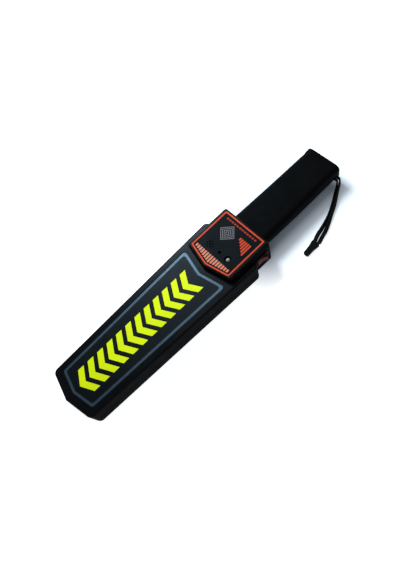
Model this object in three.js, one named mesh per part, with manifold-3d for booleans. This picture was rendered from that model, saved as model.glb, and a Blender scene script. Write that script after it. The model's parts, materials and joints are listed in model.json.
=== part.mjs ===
// Hand-held security metal detector: a flat search paddle, a raised control
// head and a straight grip with a wrist strap.
// Millimetres. +X runs from the paddle's tip to the grip's end, +Z comes out
// of the control face, and the wand lies on its back on the plane z = 0.
import * as THREE from 'three';
import { mergeVertices } from 'three/addons/utils/BufferGeometryUtils.js';
import Module from 'manifold-3d';

const wasm = await Module();
wasm.setup();

// Overall sizes, fits and faceting
const wall = 2.5;
const seamHeight = 16;
const clearance = 0.3;
const glueLine = 0.1;
const overrun = 4;
const cornerSteps = 3;
const sectionSteps = 4;
const edgeSteps = 2;
const roundSides = 16;
const smallSides = 8;
const wireSides = 6;

// Search paddle
const paddleLength = 254.5;
const paddleTipHalfWidth = 36.2;
const paddleHeadHalfWidth = 44;
const paddleHeight = 32;
const paddlePointDepth = 8.2;
const paddleCornerRadius = 7;
const paddleTopEdge = 2;
const paddleBottomEdge = 4.5;

// Control head
const headLength = 71.6;
const headHalfWidth = 36.2;
const headHeight = 39.6;
const headPointDepth = 8.1;
const headCornerRadius = 4;
const headOverlap = 45.5;
const headSlopeDepth = 7.2;
const headSlopeInset = 2.6;
const headBottomInset = 2.8;

// Grip
const gripLength = 129.4;
const gripNeckHalfWidth = 26.2;
const gripEndHalfWidth = 24.2;
const gripTop = 28;
const gripNeckBottom = 11.3;
const gripBatteryBottom = 5.6;
const gripWall = 2.1;
const gripStart = 16;
const gripTaperGap = 12;
const lipLength = 10;
const lipLandLength = 4;
const lipRise = 0.8;
const lipChamfer = 0.7;
const gripEndCornerRadius = 3;
const sectionTopRadius = 8;
const sectionBottomRadius = 11;
const sectionNominalHeight = 22.4;

// Printed labels
const labelThickness = 0.5;
const paddleLabelRecess = 0.9;
const paddleLabelTipGap = 9.6;
const paddleLabelHeadGap = 5.5;
const paddleLabelTipMargin = 7;
const paddleLabelHeadMargin = 8.6;
const paddleLabelPointDepth = 6.8;
const paddleLabelNotchDepth = 7.8;
const paddleLabelRadius = 5;
const controlLabelFrontGap = 0.5;
const controlLabelSideGap = 2;
const controlLabelBackGap = 0.5;
const controlLabelRadius = 1.5;

// Search coil and its former
const coilSideGap = 3.5;
const coilWidth = 7;
const coilHeight = 8;
const coilTipGap = 11;
const coilHeadGap = 6;
const coilLift = 4.8;
const formerThickness = 1.6;
const formerLedge = 1;
const coilRibThickness = 1.6;
const coilRibCount = 4;
const coilCornerSteps = 12;

// Housing screws and their posts
const screwShankRadius = 1.4;
const screwHeadRadius = 2.9;
const screwHeadHeight = 2.2;
const screwLength = 16;
const screwSeatDepth = 7;
const gripScrewLength = 11;
const gripScrewSeatDepth = 5;
const screwPostRadius = 4.2;
const screwBaseRadius = 5.2;
const crossSlotWidth = 0.8;
const crossSlotLength = 3.4;
const crossSlotDepth = 1.1;
const paddleScrewInset = 55;
const headScrewSetback = 3;
const headScrewHalfSpan = 28;
const gripScrewGap = 6;
const gripScrewHalfSpan = 15;

// Circuit board and what stands on it
const boardThickness = 1.6;
const boardLift = 3;
const boardFrontGap = 8;
const boardBackGap = 2;
const boardHalfWidth = 30;
const boardPostRadius = 3;
const boardScrewLength = 8;
const boardScrewInset = 6;
const boardScrewSpanShare = 0.82;
const boardRearScrewY = 4;
const chipHeight = 3.4;
const chipWidth = 6.4;
const chipLongLength = 19;
const chipShortLength = 9.6;
const chipPinPitch = 2.54;
const chipPinWidth = 0.5;
const chipPinReach = 0.9;
const chipSpeakerGap = 7.62;
const capacitorRadius = 3.1;
const capacitorHeadroom = 5.2;
const capacitorPitch = 9.3;
const trimmerSide = 6.6;
const trimmerHeight = 7.6;
const trimmerScrewRadius = 1.7;
const trimmerScrewHeight = 2;
const trimmerSlotWidth = 0.6;
const trimmerSlotDepth = 0.7;

// Control face: three features in one row across the head
const faceRowSetback = 25;
const speakerY = 14;
const trimmerY = -2;
const lampY = -15.3;
const soundHoleRadius = 1.2;
const soundRingHoleRadius = 0.85;
const soundRingRadius = 3.8;
const soundRingCount = 8;
const trimmerHoleRadius = 1.7;
const lampRecessRadius = 4.1;
const lampRecessDepth = 1.6;
const lampRadius = 2.5;
const lampFlangeRadius = 2.95;
const lampFlangeHeight = 1;
const lampHeight = 8.4;
const lampSink = 0.5;
const lampLegSide = 0.6;
const lampLegSpread = 1.27;
const speakerRadius = 11.5;
const speakerHeight = 4.6;
const speakerWall = 1.2;
const speakerMagnetRadius = 6;
const speakerMagnetHeight = 3.6;
const speakerRibThickness = 1.4;
const speakerRibHeight = 3;
const speakerConeRadius = 9.6;
const speakerConeDepth = 2;
const speakerConeThickness = 0.6;

// Power rocker on the right side of the head
const rockerTravel = 12;
const bezelLength = 18;
const bezelHeight = 13.5;
const bezelThickness = 1.8;
const bezelShoulderGap = 1.2;
const bezelTopGap = 1.5;
const bezelRim = 1.2;
const switchDepth = 13.2;
const switchInset = 1.4;
const switchEndInset = 0.5;
const switchPocketDepth = 8;
const switchPocketWall = 1.2;
const rockerHalfLength = 6.5;
const rockerEndReach = 6;
const rockerDishReach = 3.4;
const rockerRoot = 0.5;
const rockerBellyHalfLength = 3.2;
const rockerBellyHeight = 1.6;
const rockerBellyReach = 4.8;
const rockerPinRadius = 1;
const rockerPinReach = 0.9;
const rockerPivotDepth = 3.5;
const terminalThickness = 0.8;
const terminalWidth = 4.8;
const terminalLength = 5.6;
const terminalPitch = 5.5;
const terminalCount = 3;

// Push button, earphone socket and their board parts, left side of the head
const buttonSetback = 7.5;
const buttonRadius = 4.2;
const buttonProud = 2;
const buttonTravel = 1.2;
const buttonDish = 0.6;
const buttonFlangeRadius = 5.3;
const buttonFlangeThickness = 1.4;
const tactSide = 6;
const tactBoreRadius = 1.9;
const plungerRadius = 1.6;
const plungerProud = 2;
const plungerSeat = 1.1;
const jackSpacing = 10.5;
const jackWidth = 6;
const jackLength = 13;
const jackBushRadius = 2.9;
const jackBushProud = 0.6;
const jackBoreRadius = 1.8;
const jackBoreDepth = 12;

// Vibration motor in the grip
const motorRadius = 5;
const motorLength = 20;
const motorGap = 11;
const motorLift = 2.6;
const motorNoseRadius = 2.4;
const motorNoseLength = 1.2;
const motorShaftRadius = 1;
const motorShaftReach = 7.5;
const motorShaftSeat = 2.5;
const weightRadius = 4.5;
const weightLength = 5;
const saddleThickness = 2;
const saddleHalfWidth = 8;
const saddleInset = 3;

// Nine-volt battery, its snap connector and the sliding door
const batteryLength = 46.4;
const batteryWidth = 26.5;
const batteryThickness = 17.5;
const batteryEdge = 1.5;
const batteryEndGap = 1.8;
const snapPitch = 12.7;
const snapCupRadius = 3.9;
const snapCupWall = 0.8;
const snapCupHeight = 2.2;
const snapStudRadius = 2.6;
const snapStudGap = 0.9;
const snapReach = 3.4;
const snapPlateThickness = 1.6;
const snapPlateMargin = 0.8;
const snapPlateHeadroom = 1.9;
const snapRibHeight = 2.6;
const doorFaceThickness = 2.9;
const doorWebThickness = 0.9;
const doorFlangeThickness = 1.6;
const doorFlangeReach = 1;
const doorSideGap = 2.25;
const doorMouthDrop = 0.1;
const doorGrooveCount = 4;
const doorGroovePitch = 3;
const doorGrooveWidth = 1.1;
const doorGrooveDepth = 0.7;

// Wrist strap, its pin and its end fitting
const strapHalfWidth = 2.5;
const strapHalfThickness = 0.9;
const strapEdge = 0.4;
const eyeSetback = 4.6;
const eyeInset = 4.7;
const eyeHeight = 10.5;
const eyePinRadius = 0.9;
const eyePinDrop = 4.4;
const eyePinFit = 0.2;
const eyeBlockLength = 10;
const eyeExitReach = 1.2;
const strandSteps = 28;
const ferruleLength = 21;
const ferruleHalfWidth = 5.1;
const ferruleNeckHalfWidth = 3.9;
const ferruleTipHalfWidth = 3.4;
const ferruleHeight = 4.2;
const ferruleShoulder = 3;
const ferruleNeck = 10;
const ferruleEdge = 0.9;
const ferruleCornerRadius = 2.2;
const ferruleTurn = 4.5;
const ferrulePlace = [-81.8, -36.4];

// Wiring
const leadRadius = 0.8;
const coilLeadRadius = 1.2;
const leadSteps = 8;
const leadTail = 1.6;
const leadOffset = 2.4;
const leadBend = 3.2;
const leadPostGap = 8.4;
const coilLeadBend = 2.4;
const coilLeadTail = 3.6;

// Places worked out from the sizes above
const overallLength = paddleLength - headOverlap + headLength + gripLength;
const tipX = -overallLength / 2;
const endX = overallLength / 2;
const shoulderX = tipX + paddleLength;
const headFrontX = shoulderX - headOverlap;
const headBackX = headFrontX + headLength;
const lipStartX = endX - lipLength;
const lipLandX = endX - lipLandLength;
const sideWallY = headHalfWidth;
const innerSideY = headHalfWidth - wall;
const headCeiling = headHeight - wall;
const paddleCeiling = paddleHeight - wall;
const gripCeiling = gripTop - gripWall;
const batteryFloor = gripBatteryBottom + gripWall;
const seamTop = seamHeight + clearance / 2;
const seamBottom = seamHeight - clearance / 2;
const boardBottom = seamHeight + boardLift;
const boardTop = boardBottom + boardThickness;
const boardFrontX = headFrontX + boardFrontGap;
const boardBackX = headBackX - wall - boardBackGap;
const faceRowX = headFrontX + faceRowSetback;
const batteryEndX = endX - doorFaceThickness - doorWebThickness - doorFlangeThickness - batteryEndGap;
const batteryStartX = batteryEndX - batteryLength;
const batteryMidZ = batteryFloor + clearance + batteryThickness / 2;

// Materials
const housingBlack = { color: 0x17191d, roughness: 0.55, metalness: 0 };
const gripBlack = { color: 0x141517, roughness: 0.6, metalness: 0 };
const labelCharcoal = { color: 0x262d33, roughness: 0.5, metalness: 0 };
const rockerRed = { color: 0xa01420, roughness: 0.4, metalness: 0 };
const buttonGrey = { color: 0x2b2d30, roughness: 0.6, metalness: 0 };
const lampClear = { color: 0xe6e8ea, roughness: 0.2, metalness: 0 };
const steel = { color: 0xb8bcc0, roughness: 0.35, metalness: 1 };
const darkSteel = { color: 0x55585c, roughness: 0.4, metalness: 1 };
const brass = { color: 0xc79a4b, roughness: 0.35, metalness: 1 };
const boardGreen = { color: 0x1d6b3a, roughness: 0.5, metalness: 0 };
const copper = { color: 0xb4622d, roughness: 0.4, metalness: 1 };
const formerCream = { color: 0xd9d2bd, roughness: 0.6, metalness: 0 };
const chipBlack = { color: 0x1c1c1e, roughness: 0.5, metalness: 0 };
const capacitorBlue = { color: 0x1f3566, roughness: 0.4, metalness: 0 };
const trimmerBlue = { color: 0x2460a8, roughness: 0.5, metalness: 0 };
const conePaper = { color: 0x3a3a38, roughness: 0.9, metalness: 0 };
const magnetGrey = { color: 0x4a4a4d, roughness: 0.6, metalness: 0.6 };
const batteryCase = { color: 0x33363b, roughness: 0.35, metalness: 0.6 };
const plateBrown = { color: 0x5a3c22, roughness: 0.6, metalness: 0 };
const cordBlack = { color: 0x101113, roughness: 0.85, metalness: 0 };
const leadRed = { color: 0xb52020, roughness: 0.5, metalness: 0 };
const leadBlack = { color: 0x161616, roughness: 0.5, metalness: 0 };
const leadGrey = { color: 0x6a6c70, roughness: 0.5, metalness: 0 };

// Solids from three.js geometries, and back

function asSolid(geometry) {
  const bare = geometry.clone();
  bare.deleteAttribute('normal');
  bare.deleteAttribute('uv');
  const merged = mergeVertices(bare);
  const make = (indices) => new wasm.Manifold(new wasm.Mesh({
    numProp: 3,
    vertProperties: new Float32Array(merged.attributes.position.array),
    triVerts: new Uint32Array(indices),
  }));
  const indices = Array.from(merged.index.array);
  const solid = make(indices);
  return solid.volume() < 0 ? make(indices.reverse()) : solid;
}

function asGeometry(solid) {
  const mesh = solid.getMesh();
  const geometry = new THREE.BufferGeometry();
  geometry.setAttribute('position', new THREE.BufferAttribute(mesh.vertProperties, 3));
  geometry.setIndex(new THREE.BufferAttribute(mesh.triVerts, 1));
  geometry.computeVertexNormals();
  return geometry;
}

const join = (first, ...others) => others.reduce((sum, other) => sum.add(other), first);
const cut = (first, ...tools) => tools.reduce((rest, tool) => rest.subtract(tool), first);

function box([x0, x1], [y0, y1], [z0, z1]) {
  const geometry = new THREE.BoxGeometry(x1 - x0, y1 - y0, z1 - z0);
  geometry.translate((x0 + x1) / 2, (y0 + y1) / 2, (z0 + z1) / 2);
  return asSolid(geometry);
}

const around = (centre, half) => [centre - half, centre + half];

// A solid of revolution about Z: the profile's points are [radius, height]
function turned(profile, sides = roundSides) {
  const points = profile.map(([radius, height]) => new THREE.Vector2(radius, height));
  const geometry = new THREE.LatheGeometry(points, sides);
  geometry.rotateX(Math.PI / 2);
  return asSolid(geometry);
}

function rod(radius, [from, to], sides = roundSides) {
  return turned([[0, from], [radius, from], [radius, to], [0, to]], sides);
}

// Turns a solid that was made along Z to point along +X, +Y or -Y
const alongX = (solid) => solid.rotate([0, 90, 0]);
const alongY = (solid) => solid.rotate([-90, 0, 0]);

function extruded(shape, [bottom, top], steps = cornerSteps) {
  const settings = { depth: top - bottom, bevelEnabled: false, curveSegments: steps };
  const geometry = new THREE.ExtrudeGeometry(shape, settings);
  geometry.translate(0, 0, bottom);
  return asSolid(geometry);
}

// An extrusion whose top and bottom edges are rounded over, depth by inset
function slab(shape, [bottom, top], edgeDepth, edgeInset = edgeDepth) {
  const geometry = new THREE.ExtrudeGeometry(shape, {
    depth: top - bottom - 2 * edgeDepth,
    bevelEnabled: true,
    bevelThickness: edgeDepth,
    bevelSize: edgeInset,
    bevelOffset: -edgeInset,
    bevelSegments: edgeSteps,
    curveSegments: cornerSteps,
  });
  geometry.translate(0, 0, bottom + edgeDepth);
  return asSolid(geometry);
}

// Outlines, counter-clockwise

// Moves every side of a polygon inwards, or outwards where the inset is negative
function inset(corners, distance) {
  const count = corners.length;
  const sides = corners.map(([x, y], i) => {
    const [nextX, nextY] = corners[(i + 1) % count];
    const length = Math.hypot(nextX - x, nextY - y);
    const [dx, dy] = [(nextX - x) / length, (nextY - y) / length];
    return { x: x - dy * distance, y: y + dx * distance, dx, dy };
  });
  return sides.map((side, i) => {
    const before = sides[(i + count - 1) % count];
    const cross = before.dx * side.dy - before.dy * side.dx;
    const gap = (side.x - before.x) * side.dy - (side.y - before.y) * side.dx;
    const along = gap / cross;
    return [before.x + before.dx * along, before.y + before.dy * along];
  });
}

// A closed outline with rounded corners; the first corner, the point, has its own radius
function rounded(corners, radius, pointRadius = radius) {
  const shape = new THREE.Shape();
  const count = corners.length;
  const order = [...corners.keys()].slice(1).concat(0);
  order.forEach((i) => {
    const [x, y] = corners[i];
    const [lastX, lastY] = corners[(i + count - 1) % count];
    const [nextX, nextY] = corners[(i + 1) % count];
    const into = Math.atan2(y - lastY, x - lastX);
    const out = Math.atan2(nextY - y, nextX - x);
    const turn = Math.atan2(Math.sin(out - into), Math.cos(out - into));
    const bend = i === 0 ? pointRadius : radius;
    if (bend === 0) {
      shape.lineTo(x, y);
      return;
    }
    const side = Math.sign(turn);
    const away = bend / Math.cos(turn / 2);
    const middle = into + turn / 2 + side * Math.PI / 2;
    const from = into - side * Math.PI / 2;
    shape.absarc(
      x + away * Math.cos(middle),
      y + away * Math.sin(middle),
      bend,
      from,
      from + turn,
      turn < 0,
    );
  });
  shape.closePath();
  return shape;
}

const rectangle = ([x0, x1], [y0, y1]) => [[x0, y0], [x1, y0], [x1, y1], [x0, y1]];

const paddleCorners = [
  [tipX, 0],
  [tipX + paddlePointDepth, -paddleTipHalfWidth],
  [shoulderX, -paddleHeadHalfWidth],
  [shoulderX, paddleHeadHalfWidth],
  [tipX + paddlePointDepth, paddleTipHalfWidth],
];

const headCorners = [
  [headFrontX, 0],
  [headFrontX + headPointDepth, -headHalfWidth],
  [headBackX, -headHalfWidth],
  [headBackX, headHalfWidth],
  [headFrontX + headPointDepth, headHalfWidth],
];

const labelTipX = tipX + paddleLabelTipGap;
const labelNotchX = headFrontX - paddleLabelHeadGap;
const labelCornerX = labelTipX + paddleLabelPointDepth;
const labelEarX = labelNotchX + paddleLabelNotchDepth;
const labelTipHalfWidth = paddleTipHalfWidth - paddleLabelTipMargin;
const labelHeadHalfWidth = paddleHeadHalfWidth - paddleLabelHeadMargin - clearance;
const paddleLabelCorners = [
  [labelTipX, 0],
  [labelCornerX, -labelTipHalfWidth],
  [labelEarX, -labelHeadHalfWidth],
  [labelNotchX, 0],
  [labelEarX, labelHeadHalfWidth],
  [labelCornerX, labelTipHalfWidth],
];

const faceFrontX = headFrontX + headSlopeInset;
const controlLabelHalfWidth = headHalfWidth - headSlopeInset - controlLabelSideGap;
const controlLabelFrontX = faceFrontX + controlLabelFrontGap;
const controlLabelBackX = headBackX - headSlopeInset - controlLabelBackGap;
const controlLabelCornerX = controlLabelFrontX
  + headPointDepth * controlLabelHalfWidth / headHalfWidth;
const controlLabelCorners = [
  [controlLabelFrontX, 0],
  [controlLabelCornerX, -controlLabelHalfWidth],
  [controlLabelBackX, -controlLabelHalfWidth],
  [controlLabelBackX, controlLabelHalfWidth],
  [controlLabelCornerX, controlLabelHalfWidth],
];

// Grip: one rounded section carried along X through a list of stations

const sectionShares = {
  topAcross: sectionTopRadius / gripEndHalfWidth,
  topUp: sectionTopRadius / sectionNominalHeight,
  bottomAcross: sectionBottomRadius / gripEndHalfWidth,
  bottomUp: sectionBottomRadius / sectionNominalHeight,
};

// Half widths run from -1 to 1 and heights from 0 to 1
function unitSection() {
  const { topAcross, topUp, bottomAcross, bottomUp } = sectionShares;
  const shape = new THREE.Shape();
  shape.moveTo(1 - bottomAcross, 0);
  shape.quadraticCurveTo(1, 0, 1, bottomUp);
  shape.lineTo(1, 1 - topUp);
  shape.quadraticCurveTo(1, 1, 1 - topAcross, 1);
  shape.lineTo(topAcross - 1, 1);
  shape.quadraticCurveTo(-1, 1, -1, 1 - topUp);
  shape.lineTo(-1, bottomUp);
  shape.quadraticCurveTo(-1, 0, bottomAcross - 1, 0);
  shape.closePath();
  return shape;
}

const gripStations = [
  { x: headBackX - gripStart, half: gripNeckHalfWidth, bottom: gripNeckBottom, top: gripTop },
  { x: headBackX, half: gripNeckHalfWidth, bottom: gripNeckBottom, top: gripTop },
  {
    x: batteryStartX - snapReach - snapPlateThickness - gripTaperGap,
    half: (gripNeckHalfWidth + gripEndHalfWidth) / 2,
    bottom: gripBatteryBottom,
    top: gripTop,
  },
  { x: lipStartX, half: gripEndHalfWidth, bottom: gripBatteryBottom, top: gripTop },
  {
    x: lipLandX,
    half: gripEndHalfWidth + lipRise,
    bottom: gripBatteryBottom - lipRise,
    top: gripTop + lipRise,
  },
  {
    x: endX - lipChamfer,
    half: gripEndHalfWidth + lipRise,
    bottom: gripBatteryBottom - lipRise,
    top: gripTop + lipRise,
  },
  {
    x: endX,
    half: gripEndHalfWidth + lipRise - lipChamfer,
    bottom: gripBatteryBottom - lipRise + lipChamfer,
    top: gripTop + lipRise - lipChamfer,
  },
];

function bar(stations) {
  const last = stations.length - 1;
  const settings = { depth: last, steps: last, bevelEnabled: false, curveSegments: sectionSteps };
  const geometry = new THREE.ExtrudeGeometry(unitSection(), settings);
  const place = geometry.attributes.position;
  for (let i = 0; i < place.count; i += 1) {
    const { x, half, bottom, top } = stations[Math.round(place.getZ(i))];
    place.setXYZ(i, x, place.getX(i) * half, bottom + place.getY(i) * (top - bottom));
  }
  return asSolid(geometry);
}

const gripEnvelope = rounded([
  [headBackX - gripStart - overrun, -headHalfWidth],
  [endX, -gripEndHalfWidth - lipRise],
  [endX, gripEndHalfWidth + lipRise],
  [headBackX - gripStart - overrun, headHalfWidth],
], gripEndCornerRadius);

const gripOutside = bar(gripStations).intersect(extruded(gripEnvelope, [0, headHeight]));

function gripInside() {
  const stations = gripStations.slice(0, gripStations.findIndex(({ x }) => x === lipStartX) + 1);
  const inner = stations.map(({ x, half, bottom, top }) => (
    { x, half: half - gripWall, bottom: bottom + gripWall, top: top - gripWall }
  ));
  inner[0].x += wall;
  inner.push({ ...inner.at(-1), x: doorGrooveX });
  return bar(inner);
}

// Search coil and its former: rings that follow the paddle inside the housing

const coilOuterRadius = paddleTipHalfWidth - wall - coilSideGap;
const coilTipX = tipX + coilTipGap + coilOuterRadius;
const coilHeadX = headFrontX - coilHeadGap - coilOuterRadius;
const coilBottom = wall + coilLift;

function racetrack(radius) {
  const shape = new THREE.Shape();
  shape.absarc(coilHeadX, 0, radius, -Math.PI / 2, Math.PI / 2, false);
  shape.absarc(coilTipX, 0, radius, Math.PI / 2, Math.PI * 3 / 2, false);
  shape.closePath();
  return shape;
}

function ring(outer, inner, span) {
  const [bottom, top] = span;
  return cut(
    extruded(racetrack(outer), span, coilCornerSteps),
    extruded(racetrack(inner), [bottom - overrun, top + overrun], coilCornerSteps),
  );
}

const coilInnerRadius = coilOuterRadius - coilWidth;
const formerWallRadius = coilInnerRadius - clearance;
const formerBottom = coilBottom - clearance - formerThickness;
const coilTop = coilBottom + coilHeight;

function coilFormer() {
  const plateSpan = [formerBottom, formerBottom + formerThickness];
  const wallSpan = [formerBottom, coilTop];
  return join(
    ring(coilOuterRadius + formerLedge, formerWallRadius - formerThickness, plateSpan),
    ring(formerWallRadius, formerWallRadius - formerThickness, wallSpan),
  );
}

const searchCoil = () => ring(coilOuterRadius, coilInnerRadius, [coilBottom, coilTop]);

// Ribs under the former in one half of the housing, and over the coil in the other
function coilRibs(span) {
  const inner = formerWallRadius - formerThickness;
  const outer = coilOuterRadius + formerLedge;
  const ribs = [];
  for (let i = 0; i < coilRibCount; i += 1) {
    const x = coilTipX + (coilHeadX - coilTipX) * i / (coilRibCount - 1);
    for (const side of [-1, 1]) {
      const across = [side * inner, side * outer].sort((a, b) => a - b);
      ribs.push(box(around(x, coilRibThickness / 2), across, span));
    }
  }
  return ribs;
}

// Housing screws

const snapPlateBackX = batteryStartX - snapReach;
const snapPlateFrontX = snapPlateBackX - snapPlateThickness;
const gripScrewX = snapPlateFrontX - gripScrewGap;
const headScrewX = headFrontX + headScrewSetback;

const housingScrews = [
  { x: tipX + paddleScrewInset, y: 0, seat: screwSeatDepth, grip: false },
  { x: headFrontX - paddleScrewInset, y: 0, seat: screwSeatDepth, grip: false },
  { x: headScrewX, y: -headScrewHalfSpan, seat: screwSeatDepth, grip: false },
  { x: headScrewX, y: headScrewHalfSpan, seat: screwSeatDepth, grip: false },
  { x: gripScrewX, y: -gripScrewHalfSpan, seat: gripBatteryBottom + gripScrewSeatDepth, grip: true },
  { x: gripScrewX, y: gripScrewHalfSpan, seat: gripBatteryBottom + gripScrewSeatDepth, grip: true },
];

function screw(length) {
  const top = length;
  const body = turned([
    [0, -screwHeadHeight],
    [screwHeadRadius, -screwHeadHeight],
    [screwHeadRadius, 0],
    [screwShankRadius, 0],
    [screwShankRadius, top - screwShankRadius],
    [0, top],
  ], smallSides);
  const depth = [-screwHeadHeight - overrun, -screwHeadHeight + crossSlotDepth];
  const narrow = around(0, crossSlotWidth / 2);
  const long = around(0, crossSlotLength / 2);
  return cut(body, box(narrow, long, depth), box(long, narrow, depth));
}

function housingScrew({ x, y, seat, grip }) {
  return screw(grip ? gripScrewLength : screwLength).translate([x, y, seat - clearance]);
}

// Circuit board

const boardScrews = [
  { x: boardFrontX + boardScrewInset, y: -boardHalfWidth * boardScrewSpanShare },
  { x: boardBackX - boardScrewInset, y: boardRearScrewY },
];
const bezelFrontX = shoulderX + bezelShoulderGap;
const bezelMidX = bezelFrontX + bezelLength / 2;
const bezelMidZ = paddleHeight - bezelTopGap - bezelHeight / 2;
const switchBackY = -sideWallY + switchDepth;
const terminalEndY = switchBackY + clearance + terminalLength;
const notchX = bezelFrontX - clearance;
const notchY = terminalEndY + clearance;

function circuitBoard() {
  const corners = [
    [boardFrontX, -boardHalfWidth],
    [notchX, -boardHalfWidth],
    [notchX, notchY],
    [boardBackX, notchY],
    [boardBackX, boardHalfWidth],
    [boardFrontX, boardHalfWidth],
  ];
  const shape = new THREE.Shape(corners.map(([x, y]) => new THREE.Vector2(x, y)));
  const holes = boardScrews.map(({ x, y }) => (
    rod(screwShankRadius + clearance, [boardBottom - overrun, boardTop + overrun], smallSides)
      .translate([x, y, 0])
  ));
  return cut(extruded(shape, [boardBottom, boardTop]), ...holes);
}

function boardScrew({ x, y }) {
  return screw(boardScrewLength).translate([x, y, boardBottom - clearance]);
}

const onBoard = boardTop + clearance;

function chip(length, x, y) {
  const pins = Math.floor(length / chipPinPitch);
  const body = box(
    around(x, length / 2),
    around(y, chipWidth / 2),
    [onBoard + clearance, onBoard + clearance + chipHeight],
  );
  const legs = [];
  for (let i = 0; i < pins; i += 1) {
    const legX = x + (i - (pins - 1) / 2) * chipPinPitch;
    const reach = chipWidth / 2 + chipPinReach;
    legs.push(box(
      around(legX, chipPinWidth / 2),
      around(y, reach),
      [onBoard + chipHeight / 2, onBoard + chipHeight / 2 + chipPinWidth],
    ));
    for (const side of [-1, 1]) {
      const outer = side * reach;
      const inner = side * (reach - chipPinWidth);
      const across = [outer, inner].map((edge) => y + edge).sort((a, b) => a - b);
      legs.push(box(
        around(legX, chipPinWidth / 2),
        across,
        [onBoard, onBoard + chipHeight / 2 + chipPinWidth],
      ));
    }
  }
  return join(body, ...legs);
}

const chipPlaces = [
  {
    length: chipLongLength,
    x: faceRowX + speakerRadius + chipSpeakerGap,
    y: speakerY - chipPinPitch,
  },
  { length: chipShortLength, x: faceRowX + speakerRadius, y: lampY - chipPinPitch },
];
const capacitorPlaces = [
  { x: faceRowX + speakerRadius, y: trimmerY - chipPinPitch / 2 },
  { x: faceRowX + speakerRadius + capacitorPitch, y: trimmerY - chipPinPitch / 2 },
];

function capacitor({ x, y }) {
  return rod(capacitorRadius, [onBoard, headCeiling - capacitorHeadroom]).translate([x, y, 0]);
}

const trimmerTop = onBoard + trimmerHeight;

function trimmerBody() {
  const half = trimmerSide / 2;
  const pocket = rod(
    trimmerScrewRadius + clearance,
    [trimmerTop - trimmerScrewHeight, trimmerTop + overrun],
    smallSides,
  );
  return cut(
    box(around(faceRowX, half), around(trimmerY, half), [onBoard, trimmerTop]),
    pocket.translate([faceRowX, trimmerY, 0]),
  );
}

function trimmerScrew() {
  const bottom = trimmerTop - trimmerScrewHeight + clearance;
  const top = bottom + trimmerScrewHeight;
  const slot = box(
    around(0, trimmerScrewRadius + overrun),
    around(0, trimmerSlotWidth / 2),
    [top - trimmerSlotDepth, top + overrun],
  );
  return cut(rod(trimmerScrewRadius, [bottom, top], smallSides), slot)
    .translate([faceRowX, trimmerY, 0]);
}

// Indicator lamp: a domed lens on a flange, and its two legs

const lampTop = headHeight - lampSink;
const lampBottom = lampTop - lampHeight;

function lampLens() {
  const shoulder = lampTop - lampRadius;
  const bulge = Math.SQRT1_2;
  return turned([
    [0, lampBottom],
    [lampFlangeRadius, lampBottom],
    [lampFlangeRadius, lampBottom + lampFlangeHeight],
    [lampRadius, lampBottom + lampFlangeHeight],
    [lampRadius, shoulder],
    [lampRadius * bulge, shoulder + lampRadius * bulge],
    [0, lampTop],
  ], roundSides).translate([faceRowX, lampY, 0]);
}

function lampLeg(side) {
  const half = lampLegSide / 2;
  const y = lampY + side * lampLegSpread;
  return box(around(faceRowX, half), around(y, half), [onBoard, lampBottom - clearance]);
}

// Loudspeaker: a shallow frame, a dished cone and a magnet

const speakerTop = headCeiling - clearance;
const speakerBottom = speakerTop - speakerHeight;
const speakerBore = speakerMagnetRadius - speakerWall;

function atSpeaker(solid) {
  return solid.translate([faceRowX, speakerY, 0]);
}

function speakerFrame() {
  return atSpeaker(turned([
    [speakerBore, speakerBottom],
    [speakerRadius, speakerBottom],
    [speakerRadius, speakerTop],
    [speakerRadius - speakerWall, speakerTop],
    [speakerRadius - speakerWall, speakerBottom + speakerWall],
    [speakerBore, speakerBottom + speakerWall],
    [speakerBore, speakerBottom],
  ]));
}

function speakerCone() {
  const rim = speakerBottom + speakerWall + clearance + speakerConeDepth;
  const middle = rim - speakerConeDepth;
  return atSpeaker(turned([
    [0, middle],
    [speakerBore, middle],
    [speakerConeRadius, rim],
    [speakerConeRadius, rim + speakerConeThickness],
    [speakerBore, middle + speakerConeThickness],
    [0, middle + speakerConeThickness],
  ]));
}

function speakerMagnet() {
  const top = speakerBottom - clearance;
  return atSpeaker(rod(speakerMagnetRadius, [top - speakerMagnetHeight, top]));
}

// Power switch: a frame set in the side wall, a dished rocker and terminals

const pocketHalfLength = bezelLength / 2 - bezelRim;
const switchHalfHeight = bezelHeight / 2 - switchInset;
const switchHalfLength = bezelLength / 2 - switchEndInset;
const pocketHalfHeight = switchHalfHeight - switchPocketWall;
const bezelFaceY = -sideWallY - clearance - bezelThickness;
const pivotY = bezelFaceY + rockerPivotDepth;

function switchFrame() {
  const flange = box(
    around(bezelMidX, bezelLength / 2),
    [bezelFaceY, -sideWallY - clearance],
    around(bezelMidZ, bezelHeight / 2),
  );
  const body = box(
    around(bezelMidX, switchHalfLength),
    [bezelFaceY + clearance, switchBackY],
    around(bezelMidZ, switchHalfHeight),
  );
  const pocket = box(
    around(bezelMidX, pocketHalfLength),
    [bezelFaceY - overrun, bezelFaceY + switchPocketDepth],
    around(bezelMidZ, pocketHalfHeight),
  );
  const pinHoles = rod(rockerPinRadius + clearance, around(bezelMidZ, bezelHeight), smallSides);
  return cut(join(flange, body), pocket, pinHoles.translate([bezelMidX, pivotY, 0]));
}

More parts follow.
